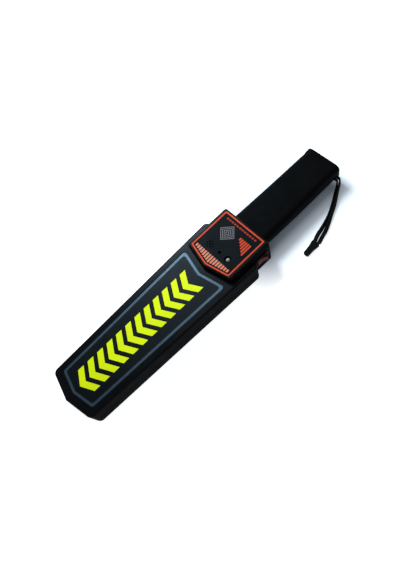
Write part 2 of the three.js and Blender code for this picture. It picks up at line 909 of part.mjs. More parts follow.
function powerRocker() {
  const shape = new THREE.Shape();
  shape.moveTo(-rockerHalfLength, -rockerEndReach);
  shape.quadraticCurveTo(0, rockerDishReach - rockerEndReach, rockerHalfLength, -rockerEndReach);
  shape.lineTo(rockerHalfLength, -rockerRoot);
  shape.lineTo(rockerBellyHalfLength, rockerBellyHeight);
  shape.quadraticCurveTo(0, rockerBellyReach, -rockerBellyHalfLength, rockerBellyHeight);
  shape.lineTo(-rockerHalfLength, -rockerRoot);
  shape.closePath();
  const half = pocketHalfHeight - clearance;
  const body = extruded(shape, [-half, half]);
  const reach = half + clearance + rockerPinReach;
  const pin = rod(rockerPinRadius, [-reach, reach], smallSides);
  return join(body, pin).rotate([0, 0, -rockerTravel]).translate([bezelMidX, pivotY, bezelMidZ]);
}

function switchTerminal(index) {
  const x = bezelMidX + (index - (terminalCount - 1) / 2) * terminalPitch;
  return box(
    around(x, terminalThickness / 2),
    [switchBackY + clearance, terminalEndY],
    around(bezelMidZ, terminalWidth / 2),
  );
}

// Push button, its board switch and the earphone socket, on the left wall

const buttonX = shoulderX + buttonSetback;
const buttonZ = onBoard + tactSide / 2;
const buttonFlangeY = innerSideY - clearance;
const tactFaceY = buttonFlangeY - buttonFlangeThickness - clearance - plungerProud;

function senseButton() {
  const outer = sideWallY + buttonProud;
  const inner = buttonFlangeY - buttonFlangeThickness;
  return alongY(turned([
    [0, inner],
    [buttonFlangeRadius, inner],
    [buttonFlangeRadius, buttonFlangeY],
    [buttonRadius, buttonFlangeY],
    [buttonRadius, outer - buttonDish],
    [buttonRadius - buttonDish, outer],
    [0, outer - buttonDish],
  ])).translate([buttonX, 0, buttonZ]);
}

function tactBody() {
  const bore = alongY(rod(
    tactBoreRadius,
    [tactFaceY - plungerSeat - buttonTravel - clearance, tactFaceY + overrun],
    smallSides,
  ));
  return cut(
    box(around(buttonX, tactSide / 2), [tactFaceY - tactSide, tactFaceY], [onBoard, onBoard + tactSide]),
    bore.translate([buttonX, 0, buttonZ]),
  );
}

function tactPlunger() {
  return alongY(rod(plungerRadius, [tactFaceY - plungerSeat, tactFaceY + plungerProud], smallSides))
    .translate([buttonX, 0, buttonZ]);
}

const jackX = buttonX + jackSpacing;
const jackFaceY = innerSideY - clearance;

function phoneJack() {
  const outer = sideWallY + jackBushProud;
  const body = box(
    around(jackX, jackWidth / 2),
    [jackFaceY - jackLength, jackFaceY],
    around(buttonZ, jackWidth / 2),
  );
  const bush = alongY(rod(jackBushRadius, [jackFaceY - clearance, outer]));
  const bore = alongY(rod(jackBoreRadius, [outer - jackBoreDepth, outer + overrun], smallSides));
  return cut(
    join(body, bush.translate([jackX, 0, buttonZ])),
    bore.translate([jackX, 0, buttonZ]),
  );
}

// Vibration motor with its off-centre weight

const motorX = headBackX + motorGap;
const motorEndX = motorX + motorLength;
const motorZ = seamHeight + motorLift;
const weightX = motorEndX + motorNoseLength + motorShaftReach - weightLength;

function motorCan() {
  const nose = motorEndX + motorNoseLength;
  const can = turned([
    [0, motorX],
    [motorRadius, motorX],
    [motorRadius, motorEndX],
    [motorNoseRadius, motorEndX],
    [motorNoseRadius, nose],
    [0, nose],
  ]);
  const boreSpan = [nose - motorShaftSeat - clearance, nose + overrun];
  const bore = rod(motorShaftRadius + clearance, boreSpan, smallSides);
  return alongX(cut(can, bore)).translate([0, 0, motorZ]);
}

function motorShaft() {
  const nose = motorEndX + motorNoseLength;
  return alongX(rod(motorShaftRadius, [nose - motorShaftSeat, nose + motorShaftReach], smallSides))
    .translate([0, 0, motorZ]);
}

function motorWeight() {
  const shape = new THREE.Shape();
  shape.absarc(0, 0, weightRadius, Math.PI, Math.PI * 2, false);
  shape.lineTo(motorNoseRadius, motorNoseRadius);
  shape.lineTo(-motorNoseRadius, motorNoseRadius);
  shape.closePath();
  const solid = extruded(shape, [weightX, weightX + weightLength], roundSides);
  const bore = rod(motorShaftRadius + clearance, [weightX - overrun, endX], smallSides);
  return alongX(cut(solid, bore).rotate([0, 0, 90])).translate([0, 0, motorZ]);
}

// Upright plates with a half-round seat that hold the motor from below and above
function saddles(span) {
  const seat = alongX(rod(motorRadius + clearance, [motorX - overrun, motorEndX + overrun]))
    .translate([0, 0, motorZ]);
  return [motorX + saddleInset, motorEndX - saddleInset].map((x) => (
    cut(box(around(x, saddleThickness / 2), around(0, saddleHalfWidth), span), seat)
  ));
}

// Battery and its snap connector

const batteryHalf = batteryWidth / 2;

function battery() {
  const corners = rectangle(around(batteryMidZ, batteryThickness / 2), around(0, batteryHalf));
  const solid = extruded(rounded(corners, batteryEdge), [batteryStartX, batteryEndX], edgeSteps);
  return solid.rotate([0, 90, 0]).mirror([0, 0, 1]);
}

const snapFarX = batteryStartX - clearance;
const snapNearX = snapPlateBackX + clearance;

// An open cup and the stud that enters it, each along X from its own base
function snapCup(base, direction) {
  const rim = base + direction * snapCupHeight;
  const inside = base + direction * snapCupWall;
  const profile = [
    [0, base],
    [snapCupRadius, base],
    [snapCupRadius, rim],
    [snapCupRadius - snapCupWall, rim],
    [snapCupRadius - snapCupWall, inside],
    [0, inside],
  ];
  return alongX(turned(direction > 0 ? profile : profile.reverse(), smallSides));
}

function snapStud(base, direction) {
  const reach = snapReach - snapStudGap - snapCupWall;
  const span = [base, base + direction * reach].sort((a, b) => a - b);
  return alongX(rod(snapStudRadius, span, smallSides));
}

const atSnap = (solid, side) => solid.translate([0, side * snapPitch / 2, batteryMidZ]);

function snapPlate() {
  return box(
    [snapPlateFrontX, snapPlateBackX],
    around(0, batteryHalf - snapPlateMargin),
    [batteryFloor + clearance, gripCeiling - snapPlateHeadroom],
  );
}

// Low ribs on the grip's floor, before and behind the snap plate
function snapRibs() {
  const height = [batteryFloor - gripWall / 2, batteryFloor + snapRibHeight];
  const across = around(0, batteryHalf);
  return [
    box([snapPlateFrontX - clearance - gripWall, snapPlateFrontX - clearance], across, height),
    box([snapPlateBackX + clearance, snapPlateBackX + clearance + snapCupWall], across, height),
  ];
}

// Battery door: a T in section that slides along Y in the grip's end

const doorFaceX = endX - doorFaceThickness;
const doorFlangeX = doorFaceX - doorWebThickness;
const doorGrooveX = doorFlangeX - doorFlangeThickness - clearance;
const doorRightY = -batteryHalf - doorSideGap;
const mouthSpan = [batteryFloor - doorMouthDrop, gripCeiling - doorMouthDrop];
const grooveSpan = [mouthSpan[0] - doorFlangeReach, mouthSpan[1] + doorFlangeReach];
const shrink = ([low, high], gap) => [low + gap, high - gap];
const doorSideSpan = [doorRightY, gripEndHalfWidth + lipRise + overrun];

function endOpening() {
  return [
    box([doorFlangeX - clearance, endX + overrun], doorSideSpan, mouthSpan),
    box([doorGrooveX, doorFlangeX + clearance], doorSideSpan, grooveSpan),
  ];
}

function batteryDoor() {
  const across = [doorRightY + clearance, doorSideSpan[1]];
  const face = box([doorFlangeX - clearance, endX], across, shrink(mouthSpan, clearance));
  const flange = box(
    [doorFlangeX - doorFlangeThickness, doorFlangeX],
    across,
    shrink(grooveSpan, clearance),
  );
  const grooves = [];
  for (let i = 0; i < doorGrooveCount; i += 1) {
    const y = (i - (doorGrooveCount - 1) / 2) * doorGroovePitch;
    grooves.push(box(
      [endX - doorGrooveDepth, endX + overrun],
      around(y, doorGrooveWidth / 2),
      shrink(mouthSpan, doorGroovePitch),
    ));
  }
  return cut(join(face, flange).intersect(gripOutside), ...grooves);
}

// Wrist strap: a bight round a pin in the grip's corner, two strands and a fitting

const strapSideY = -gripEndHalfWidth - lipRise;
const eyeX = endX - eyeSetback;
const eyeY = strapSideY + eyeInset;
const bightInnerRadius = eyePinRadius + eyePinFit;
const bightOuterRadius = bightInnerRadius + strapHalfThickness * 2;
const eyeExitY = strapSideY + eyeExitReach;
const eyeSlotHalf = bightOuterRadius + clearance;
const eyePinSpan = [eyeHeight - eyePinDrop, seamBottom - clearance];

function eyeBlock() {
  const block = box(
    [endX - eyeBlockLength, endX],
    [-gripEndHalfWidth - overrun, eyeY + eyeSlotHalf + clearance],
    [0, seamBottom],
  );
  return block.intersect(gripOutside);
}

function eyeCuts() {
  const slot = box(
    around(eyeX, eyeSlotHalf),
    [-gripEndHalfWidth - overrun, eyeY + eyeSlotHalf],
    around(eyeHeight, strapHalfWidth + clearance),
  );
  const [bottom] = eyePinSpan;
  const pinHole = rod(eyePinRadius + clearance, [bottom - clearance, seamHeight], smallSides);
  return [slot, pinHole.translate([eyeX, eyeY, 0])];
}

const eyePin = () => rod(eyePinRadius, eyePinSpan, smallSides).translate([eyeX, eyeY, 0]);

function tube(curve, radius, sides, steps) {
  const corners = [];
  for (let i = 0; i < sides; i += 1) {
    const angle = Math.PI * 2 * i / sides;
    corners.push(new THREE.Vector2(radius * Math.cos(angle), radius * Math.sin(angle)));
  }
  return asSolid(new THREE.ExtrudeGeometry(new THREE.Shape(corners), {
    steps,
    bevelEnabled: false,
    extrudePath: curve,
  }));
}

const smooth = (points) => new THREE.CatmullRomCurve3(
  points.map((point) => new THREE.Vector3(...point)),
  false,
  'centripetal',
);

function strapBight() {
  const span = around(eyeHeight, strapHalfWidth);
  const outer = join(
    rod(bightOuterRadius, span).translate([eyeX, eyeY, 0]),
    box(around(eyeX, bightOuterRadius), [eyeExitY, eyeY], span),
  );
  const clear = around(eyeHeight, strapHalfWidth + overrun);
  const inner = join(
    rod(bightInnerRadius, clear).translate([eyeX, eyeY, 0]),
    box(around(eyeX, bightInnerRadius), [eyeExitY - overrun, eyeY], clear),
  );
  return cut(outer, inner);
}

// The route of each strand from the grip's corner down to the floor and the end fitting,
// measured from the grip's end and its right side
const innerStrandRoute = [
  [-6.6, 0.9, 10.5],
  [-6.6, -0.3, 10.5],
  [-6.7, -1.6, 10.3],
  [-7.8, -2.8, 9.8],
  [-10.3, -4.4, 8.8],
  [-13.8, -6.8, 7.4],
  [-20.4, -10.3, 5.3],
  [-28.9, -15.1, 3.7],
  [-36.4, -18.9, 3.0],
  [-44.5, -22.6, 2.8],
  [-52.9, -25.7, 2.7],
  [-61.5, -28.2, 2.5],
  [-66.1, -29.2, 2.0],
  [-70.0, -29.8, 1.5],
  [-75.0, -31.1, 1.2],
  [-79.2, -32.7, 1.0],
  [-81.2, -33.4, 1.0],
];
const outerStrandRoute = [
  [-2.6, 0.9, 10.5],
  [-2.6, -0.3, 10.5],
  [-2.9, -1.8, 10.3],
  [-4.3, -3.9, 9.8],
  [-6.9, -5.8, 9.0],
  [-9.8, -7.4, 8.2],
  [-12.8, -8.9, 7.4],
  [-19.2, -12.6, 5.3],
  [-27.6, -17.6, 3.7],
  [-35.1, -21.5, 3.0],
  [-43.3, -25.3, 2.8],
  [-51.6, -29.3, 2.7],
  [-60.0, -32.9, 2.5],
  [-64.5, -34.5, 2.0],
  [-68.4, -35.4, 1.5],
  [-73.0, -36.6, 1.2],
  [-77.4, -38.0, 1.0],
  [-80.8, -38.9, 1.0],
];

// How far a strand leans towards the grip from standing on edge, in degrees, at distances along it
const strapLean = [
  [0, 0],
  [3, 0],
  [10, 14],
  [15, 20],
  [23, 25],
  [33, 28],
  [50, 30],
  [59, 42],
  [66, 54],
  [71, 66],
  [76, 82],
  [80, 90],
  [100, 90],
];

function leanAt(travelled) {
  const next = strapLean.findIndex(([distance]) => distance > travelled);
  const [[from, low], [to, high]] = strapLean.slice(next - 1, next + 1);
  return THREE.MathUtils.degToRad(low + (high - low) * (travelled - from) / (to - from));
}

function strand(route) {
  const section = new THREE.Shape([
    [-strapHalfWidth, -strapEdge],
    [-strapHalfWidth + strapEdge, -strapHalfThickness],
    [strapHalfWidth - strapEdge, -strapHalfThickness],
    [strapHalfWidth, -strapEdge],
    [strapHalfWidth, strapEdge],
    [strapHalfWidth - strapEdge, strapHalfThickness],
    [-strapHalfWidth + strapEdge, strapHalfThickness],
    [-strapHalfWidth, strapEdge],
  ].map(([x, y]) => new THREE.Vector2(x, y)));
  const settings = { depth: strandSteps, steps: strandSteps, bevelEnabled: false };
  const geometry = new THREE.ExtrudeGeometry(section, settings);
  const place = geometry.attributes.position;
  const curve = smooth(route);
  const length = curve.getLength();
  for (let i = 0; i < place.count; i += 1) {
    const share = Math.round(place.getZ(i)) / strandSteps;
    const lean = leanAt(share * length);
    const ahead = curve.getTangentAt(share);
    const level = new THREE.Vector3(ahead.y, -ahead.x, 0).normalize();
    const side = level.clone().cross(ahead).multiplyScalar(Math.cos(lean))
      .addScaledVector(level, Math.sin(lean));
    const corner = curve.getPointAt(share)
      .addScaledVector(side, place.getX(i))
      .addScaledVector(ahead.clone().cross(side), place.getY(i));
    place.setXYZ(i, ...corner.toArray());
  }
  return asSolid(geometry).translate([endX, strapSideY, 0]);
}

function strapFerrule() {
  const shape = rounded([
    [0, -ferruleHalfWidth],
    [ferruleShoulder, -ferruleHalfWidth],
    [ferruleNeck, -ferruleNeckHalfWidth],
    [ferruleLength, -ferruleTipHalfWidth],
    [ferruleLength, ferruleTipHalfWidth],
    [ferruleNeck, ferruleNeckHalfWidth],
    [ferruleShoulder, ferruleHalfWidth],
    [0, ferruleHalfWidth],
  ], ferruleCornerRadius);
  return slab(shape, [0, ferruleHeight], ferruleEdge)
    .rotate([0, 0, 180 + ferruleTurn])
    .translate([...ferrulePlace, 0])
    .translate([endX, strapSideY, 0]);
}

// Wiring, each lead along its own route

const onBoardLead = onBoard + leadRadius;

const leadRoutes = {
  battery_lead_red: { side: 1, colour: leadRed },
  battery_lead_black: { side: -1, colour: leadBlack },
};

function batteryLead(side) {
  const start = snapPlateFrontX - clearance;
  const y = saddleHalfWidth + leadOffset;
  return tube(smooth([
    [start, side * snapPitch / 2, batteryMidZ],
    [start - leadBend, side * snapPitch / 2, batteryMidZ],
    [gripScrewX - leadPostGap, side * y, seamHeight],
    [motorEndX, side * y, seamHeight],
    [motorX, side * y, seamHeight],
    [headBackX, side * y, onBoardLead - leadRadius],
    [boardBackX - leadBend, side * y, onBoardLead],
  ]), leadRadius, wireSides, leadSteps * 2);
}

function motorLead(side) {
  const y = side * motorNoseRadius;
  return tube(smooth([
    [motorX - clearance, y, motorZ],
    [motorX - leadBend, y, motorZ],
    [headBackX, y, onBoardLead + leadRadius],
    [boardBackX - leadTail, y, onBoardLead],
  ]), leadRadius, wireSides, leadSteps);
}

function speakerLead(side) {
  const x = faceRowX + side * speakerMagnetRadius;
  const y = speakerY + speakerMagnetRadius + leadOffset;
  return tube(smooth([
    [x, y, speakerBottom - clearance],
    [x, y + leadRadius, (speakerBottom + onBoard) / 2],
    [x, y, onBoard],
  ]), leadRadius, wireSides, leadSteps);
}

function coilLead() {
  const z = (coilBottom + coilTop) / 2;
  const start = coilHeadX + coilOuterRadius + clearance;
  return tube(smooth([
    [start, 0, z],
    [start + coilLeadBend, 0, z],
    [boardFrontX - coilLeadTail, 0, boardTop],
    [boardFrontX + coilLeadRadius, 0, onBoard + coilLeadRadius],
    [boardFrontX + coilLeadTail, 0, onBoard + coilLeadRadius],
  ]), coilLeadRadius, wireSides, leadSteps);
}

function switchLead(index) {
  const x = bezelMidX + (index - (terminalCount - 1) / 2) * terminalPitch;
  const y = terminalEndY + clearance;
  return tube(smooth([
    [x, y, bezelMidZ],
    [x, y + leadTail, bezelMidZ],
    [x, y + leadBend, (bezelMidZ + onBoard) / 2],
    [x, y + leadBend, onBoard],
  ]), leadRadius, wireSides, leadSteps);
}

// The two halves of the housing

function housingInside() {
  const paddle = slab(
    rounded(inset(paddleCorners, wall), paddleCornerRadius - wall, 0),
    [wall, paddleCeiling],
    paddleTopEdge,
  );
  const head = slab(
    rounded(inset(headCorners, wall), headCornerRadius, 0),
    [wall, headCeiling],
    headSlopeDepth - wall,
    headSlopeInset,
  );
  return join(paddle, head, gripInside());
}

const inside = housingInside();
const farBox = (span) => (
  box([tipX - overrun, endX + overrun], around(0, paddleHeadHalfWidth + overrun), span)
);
const wholeHeight = headHeight + overrun;

// Round posts, one for each screw, hollow for its shank
function posts(places, radius, span) {
  return places.map(({ x, y }) => rod(radius, span).translate([x, y, 0]));
}

function bores(places, radius, span) {
  return places.map(({ x, y }) => rod(radius, span, smallSides).translate([x, y, 0]));
}

function soundHoles() {
  const span = [headCeiling - overrun, headHeight + overrun];
  const holes = [rod(soundHoleRadius, span, smallSides)];
  for (let i = 0; i < soundRingCount; i += 1) {
    const angle = Math.PI * 2 * i / soundRingCount;
    const hole = rod(soundRingHoleRadius, span, wireSides);
    holes.push(hole.translate([
      soundRingRadius * Math.cos(angle),
      soundRingRadius * Math.sin(angle),
      0,
    ]));
  }
  return holes.map(atSpeaker);
}

function faceHoles() {
  const span = [headCeiling - overrun, headHeight + overrun];
  return [
    ...soundHoles(),
    rod(trimmerHoleRadius, span, smallSides).translate([faceRowX, trimmerY, 0]),
  ];
}

function lampHole() {
  const through = rod(lampFlangeRadius + clearance, [headCeiling - overrun, headHeight + overrun]);
  const recess = rod(lampRecessRadius, [headHeight - lampRecessDepth, headHeight + overrun]);
  return join(through, recess).translate([faceRowX, lampY, 0]);
}

function sideOpenings() {
  const button = alongY(rod(buttonRadius + clearance, [innerSideY - overrun, sideWallY + overrun]));
  const jack = alongY(rod(jackBushRadius + clearance, [innerSideY - overrun, sideWallY + overrun]));
  return [
    box(
      around(bezelMidX, switchHalfLength + clearance),
      [-sideWallY - overrun, -innerSideY + overrun],
      around(bezelMidZ, switchHalfHeight + clearance),
    ),
    button.translate([buttonX, 0, buttonZ]),
    jack.translate([jackX, 0, buttonZ]),
  ];
}

function paddleRecess() {
  const shape = rounded(inset(paddleLabelCorners, -clearance), paddleLabelRadius);
  return extruded(shape, [paddleHeight - paddleLabelRecess, paddleHeight + headSlopeDepth]);
}

function controlRecess() {
  const shape = rounded(inset(controlLabelCorners, -clearance), controlLabelRadius);
  return extruded(shape, [headHeight - labelThickness - glueLine, headHeight + overrun]);
}

function frontShell() {
  const outside = join(
    slab(rounded(paddleCorners, paddleCornerRadius, 0), [0, paddleHeight], paddleTopEdge),
    slab(rounded(headCorners, headCornerRadius, 0), [0, headHeight], headSlopeDepth, headSlopeInset),
    gripOutside,
  );
  const gripScrews = housingScrews.filter(({ grip }) => grip);
  const otherScrews = housingScrews.filter(({ grip }) => !grip);
  const ribBottom = headCeiling - speakerRibHeight;
  const speakerRib = cut(
    rod(speakerRadius + clearance + speakerRibThickness, [ribBottom, headCeiling + wall / 2]),
    rod(speakerRadius + clearance, [ribBottom - overrun, headHeight]),
  );
  const shell = join(
    cut(outside, inside),
    ...posts(otherScrews, screwPostRadius, [seamTop, paddleCeiling + wall / 2]),
    ...posts(gripScrews, screwPostRadius, [seamTop, gripCeiling + gripWall / 2]),
    ...posts(boardScrews, boardPostRadius, [onBoard, headCeiling + wall / 2]),
    ...coilRibs([coilTop + clearance, paddleCeiling + wall / 2]),
    ...saddles([motorZ + clearance / 2, gripCeiling + gripWall / 2]),
    atSpeaker(speakerRib),
  );
  return cut(
    shell,
    ...bores(housingScrews, screwShankRadius + clearance, [0, gripCeiling - clearance]),
    ...bores(boardScrews, screwShankRadius + clearance, [0, boardBottom + boardScrewLength + clearance]),
    ...faceHoles(),
    ...sideOpenings(),
    ...endOpening(),
    lampHole(),
    paddleRecess(),
    controlRecess(),
    farBox([-overrun, seamTop]),
  );
}

function backShell() {
  const outside = join(
    slab(rounded(paddleCorners, paddleCornerRadius, 0), [0, wholeHeight], paddleBottomEdge),
    slab(rounded(headCorners, headCornerRadius, 0), [0, wholeHeight], paddleBottomEdge, headBottomInset),
    gripOutside,
  );
  const gripScrews = housingScrews.filter(({ grip }) => grip);
  const otherScrews = housingScrews.filter(({ grip }) => !grip);
  const hollow = cut(outside, inside, farBox([seamBottom, wholeHeight + overrun]));
  const motorSaddles = saddles([gripBatteryBottom, motorZ - clearance / 2])
    .map((saddle) => saddle.intersect(gripOutside));
  const shell = join(
    hollow,
    ...posts(otherScrews, screwBaseRadius, [wall / 2, seamBottom]),
    ...posts(gripScrews, screwPostRadius, [batteryFloor - gripWall / 2, seamBottom]),
    ...coilRibs([wall / 2, formerBottom - clearance]),
    ...snapRibs(),
    ...motorSaddles,
    eyeBlock(),
  );
  const heads = housingScrews.map(({ x, y, seat }) => (
    rod(screwHeadRadius + clearance, [-overrun, seat]).translate([x, y, 0])
  ));
  return cut(
    shell,
    ...bores(housingScrews, screwShankRadius + clearance, [-overrun, seamHeight]),
    ...heads,
    ...endOpening(),
    ...eyeCuts(),
  );
}

function paddleLabel() {
  const bottom = paddleHeight - paddleLabelRecess + glueLine;
  return extruded(rounded(paddleLabelCorners, paddleLabelRadius), [bottom, bottom + labelThickness]);
}

function controlLabel() {
  const plate = extruded(
    rounded(controlLabelCorners, controlLabelRadius),
    [headHeight - labelThickness, headHeight],
  );
  return cut(plate, ...faceHoles(), lampHole());
}

// The wand: every piece as its own named mesh

const wand = new THREE.Group();

function add(name, solid, finish) {
  const mesh = new THREE.Mesh(asGeometry(solid), new THREE.MeshStandardMaterial(finish));
  mesh.name = name;
  wand.add(mesh);
}

add('front_shell', frontShell(), housingBlack);
add('back_shell', backShell(), housingBlack);
add('paddle_label', paddleLabel(), labelCharcoal);
add('control_label', controlLabel(), labelCharcoal);
add('coil_former', coilFormer(), formerCream);
add('search_coil', searchCoil(), copper);
add('coil_lead', coilLead(), leadGrey);
add('circuit_board', circuitBoard(), boardGreen);
chipPlaces.forEach(({ length, x, y }, i) => add(`chip_${i + 1}`, chip(length, x, y), chipBlack));
capacitorPlaces.forEach((place, i) => add(`capacitor_${i + 1}`, capacitor(place), capacitorBlue));
add('trimmer_body', trimmerBody(), trimmerBlue);
add('trimmer_screw', trimmerScrew(), brass);
add('lamp_lens', lampLens(), lampClear);
add('lamp_leg_1', lampLeg(-1), steel);
add('lamp_leg_2', lampLeg(1), steel);
add('speaker_frame', speakerFrame(), darkSteel);
add('speaker_cone', speakerCone(), conePaper);
add('speaker_magnet', speakerMagnet(), magnetGrey);
add('speaker_lead_1', speakerLead(-1), leadRed);
add('speaker_lead_2', speakerLead(1), leadBlack);
add('switch_frame', switchFrame(), gripBlack);
add('power_rocker', powerRocker(), rockerRed);
for (let i = 0; i < terminalCount; i += 1) {
  add(`switch_terminal_${i + 1}`, switchTerminal(i), brass);
}
add('switch_lead_1', switchLead(0), leadRed);
add('switch_lead_2', switchLead(terminalCount - 1), leadBlack);
add('sense_button', senseButton(), buttonGrey);
add('tact_switch', tactBody(), chipBlack);
add('tact_plunger', tactPlunger(), buttonGrey);
add('phone_jack', phoneJack(), darkSteel);
add('motor_can', motorCan(), steel);
add('motor_shaft', motorShaft(), darkSteel);
add('motor_weight', motorWeight(), brass);
add('motor_lead_1', motorLead(-1), leadRed);
add('motor_lead_2', motorLead(1), leadBlack);
add('battery', battery(), batteryCase);
add('battery_socket', atSnap(snapCup(snapFarX, -1), 1), steel);
add('battery_stud', atSnap(snapStud(snapFarX, -1), -1), steel);
add('snap_plate', snapPlate(), plateBrown);
add('snap_stud', atSnap(snapStud(snapNearX, 1), 1), steel);
add('snap_cup', atSnap(snapCup(snapNearX, 1), -1), steel);
for (const [name, { side, colour }] of Object.entries(leadRoutes)) {
  add(name, batteryLead(side), colour);
}
add('battery_door', batteryDoor(), gripBlack);
housingScrews.forEach((place, i) => add(`housing_screw_${i + 1}`, housingScrew(place), darkSteel));
boardScrews.forEach((place, i) => add(`board_screw_${i + 1}`, boardScrew(place), steel));
add('strap_pin', eyePin(), steel);
add('strap_bight', strapBight(), cordBlack);
add('strap_inner_strand', strand(innerStrandRoute), cordBlack);
add('strap_outer_strand', strand(outerStrandRoute), cordBlack);
add('strap_ferrule', strapFerrule(), cordBlack);

export default wand;
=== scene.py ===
"""Looks of the hand-held security metal detector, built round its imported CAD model.

Solids are built in millimetres in the row frame and turned into metres when they are done.
"""

import json
import math

import bmesh
import bpy
from mathutils import Matrix, Vector

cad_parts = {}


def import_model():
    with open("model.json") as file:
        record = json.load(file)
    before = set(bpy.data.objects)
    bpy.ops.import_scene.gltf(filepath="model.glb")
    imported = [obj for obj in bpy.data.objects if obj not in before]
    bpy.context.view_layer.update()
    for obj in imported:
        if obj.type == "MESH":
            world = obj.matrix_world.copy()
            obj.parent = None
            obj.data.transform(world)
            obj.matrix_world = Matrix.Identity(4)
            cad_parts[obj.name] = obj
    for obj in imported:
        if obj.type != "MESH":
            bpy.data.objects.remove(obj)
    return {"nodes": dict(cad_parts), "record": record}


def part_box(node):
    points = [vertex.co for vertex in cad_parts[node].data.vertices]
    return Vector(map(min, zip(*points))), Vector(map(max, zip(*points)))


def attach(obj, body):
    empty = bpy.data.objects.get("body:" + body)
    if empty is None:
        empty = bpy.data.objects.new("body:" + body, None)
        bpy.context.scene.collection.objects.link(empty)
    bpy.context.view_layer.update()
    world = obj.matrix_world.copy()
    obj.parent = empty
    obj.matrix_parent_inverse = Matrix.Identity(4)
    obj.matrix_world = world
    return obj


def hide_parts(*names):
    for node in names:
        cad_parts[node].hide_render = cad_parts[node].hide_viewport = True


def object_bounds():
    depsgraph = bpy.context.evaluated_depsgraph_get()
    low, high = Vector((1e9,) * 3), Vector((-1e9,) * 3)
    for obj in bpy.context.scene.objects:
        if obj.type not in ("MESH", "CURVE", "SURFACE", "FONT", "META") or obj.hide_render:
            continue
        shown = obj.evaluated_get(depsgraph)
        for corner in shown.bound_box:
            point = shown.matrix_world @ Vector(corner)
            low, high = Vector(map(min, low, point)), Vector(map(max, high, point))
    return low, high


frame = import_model()
CAD_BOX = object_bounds()
MM = 0.001

# Camera, fitted to the photograph

CAMERA_PLACE = (-0.08381, -0.23636, 0.5178)
CAMERA_RIGHT = (0.717897, -0.665834, -0.203195)
CAMERA_UP = (0.683514, 0.618813, 0.387142)
CAMERA_LENS = 30.316
CAMERA_SENSOR = 36
CAMERA_NEAREST = 0.01

# Wrist strap, in millimetres: the route of each strand from the grip's corner to the end fitting,
# measured from the grip's end and its right side

STRAP_ORIGIN = (205, -25, 0)
STRAP_HALF_WIDTH = 2.5
STRAP_HALF_THICKNESS = 0.9
STRAP_ROUNDING = 0.6
INNER_ROUTE = [
    (-6.6, 0.9, 10.5), (-6.6, -0.3, 10.5), (-6.7, -1.6, 10.3), (-7.8, -2.8, 9.8),
    (-10.3, -4.4, 8.8), (-13.8, -6.8, 7.4), (-20.4, -10.3, 5.3), (-28.9, -15.1, 3.7),
    (-36.4, -18.9, 3.0), (-44.5, -22.6, 2.8), (-52.9, -25.7, 2.7), (-61.5, -28.2, 2.5),
    (-66.1, -29.2, 2.0), (-70.0, -29.8, 1.5), (-75.0, -31.1, 1.2), (-79.2, -32.7, 1.0),
    (-81.2, -33.4, 1.0),
]
OUTER_ROUTE = [
    (-2.6, 0.9, 10.5), (-2.6, -0.3, 10.5), (-2.9, -1.8, 10.3), (-4.3, -3.9, 9.8),
    (-6.9, -5.8, 9.0), (-9.8, -7.4, 8.2), (-12.8, -8.9, 7.4), (-19.2, -12.6, 5.3),
    (-27.6, -17.6, 3.7), (-35.1, -21.5, 3.0), (-43.3, -25.3, 2.8), (-51.6, -29.3, 2.7),
    (-60.0, -32.9, 2.5), (-64.5, -34.5, 2.0), (-68.4, -35.4, 1.5), (-73.0, -36.6, 1.2),
    (-77.4, -38.0, 1.0), (-80.8, -38.9, 1.0),
]

# How far a strand leans towards the grip from standing on edge, in degrees, at distances along it

STRAP_LEAN = [
    (0, 0), (3, 0), (10, 14), (15, 20), (23, 25), (33, 28), (50, 30),
    (59, 42), (66, 54), (71, 66), (76, 82), (80, 90), (100, 90),
]
BIGHT_RADIUS = 2
BIGHT_TAIL = 3.5
BIGHT_STEPS = 12
STRAP_STEPS_PER_SPAN = 20
STRAP_STEP = 0.25
STRAP_ACROSS = 24
STRAP_EDGE_STEPS = 7
WEAVE_PITCHES = (1.25, 1.6)
WEAVE_DEPTH = 0.09

# Housing, in millimetres, as the CAD source has it

WALL = 2.5
SEAM = 16
GAP = 0.3
PADDLE_HALF_WIDTHS = (36.2, 44)
PADDLE_LENGTH = 254.5
PADDLE_HEIGHT = 32
PADDLE_POINT = 8.2
PADDLE_RADIUS = 7
PADDLE_TOP_EDGE = (2, 2)
PADDLE_INNER_EDGE = (2, 2)
BOTTOM_EDGE = 4.5
HEAD_LENGTH = 71.6
HEAD_HALF_WIDTH = 36.2
HEAD_HEIGHT = 39.6
HEAD_POINT = 8.1
HEAD_RADIUS = 4
HEAD_OVERLAP = 45.5
HEAD_SLOPE = (7.2, 2.6)
HEAD_BOTTOM_INSET = 2.8
GRIP_NECK = (26.2, 11.3)
GRIP_END = (24.2, 5.6)
GRIP_TOP = 28
GRIP_WALL = 2.1
GRIP_START = 16
GRIP_TAPER_END = 134.4
LIP_LENGTH = 10
LIP_LAND = 4
LIP_RISE = 0.8
LIP_CHAMFER = 0.7
GRIP_CORNER = 3
DOOR_FLANGE = 1.6
DOOR_STEP = 1
SECTION_RADII = (8, 11)
SECTION_HEIGHT = 22.4
SEAM_GROOVE = (0.35, 0.4)
CORNER_STEPS = 14
EDGE_STEPS = 6
SECTION_STEPS = 10
ROUND_SIDES = 48
THIN_SIDES = 24
SHARP = (0, 0)
OVERLAP = 1
OVERRUN = 4

TIP_X = CAD_BOX[0].x / MM
END_X = 205
SHOULDER_X = TIP_X + PADDLE_LENGTH
HEAD_FRONT_X = SHOULDER_X - HEAD_OVERLAP
HEAD_BACK_X = HEAD_FRONT_X + HEAD_LENGTH
GRIP_OUTSIDE = GRIP_END[0] + LIP_RISE + OVERRUN


# Helper solids, in millimetres


def both_sides(points):
    """A closed outline from the points of its right half. The left half mirrors them."""
    return points + [(x, -y) for x, y in reversed(points) if y]


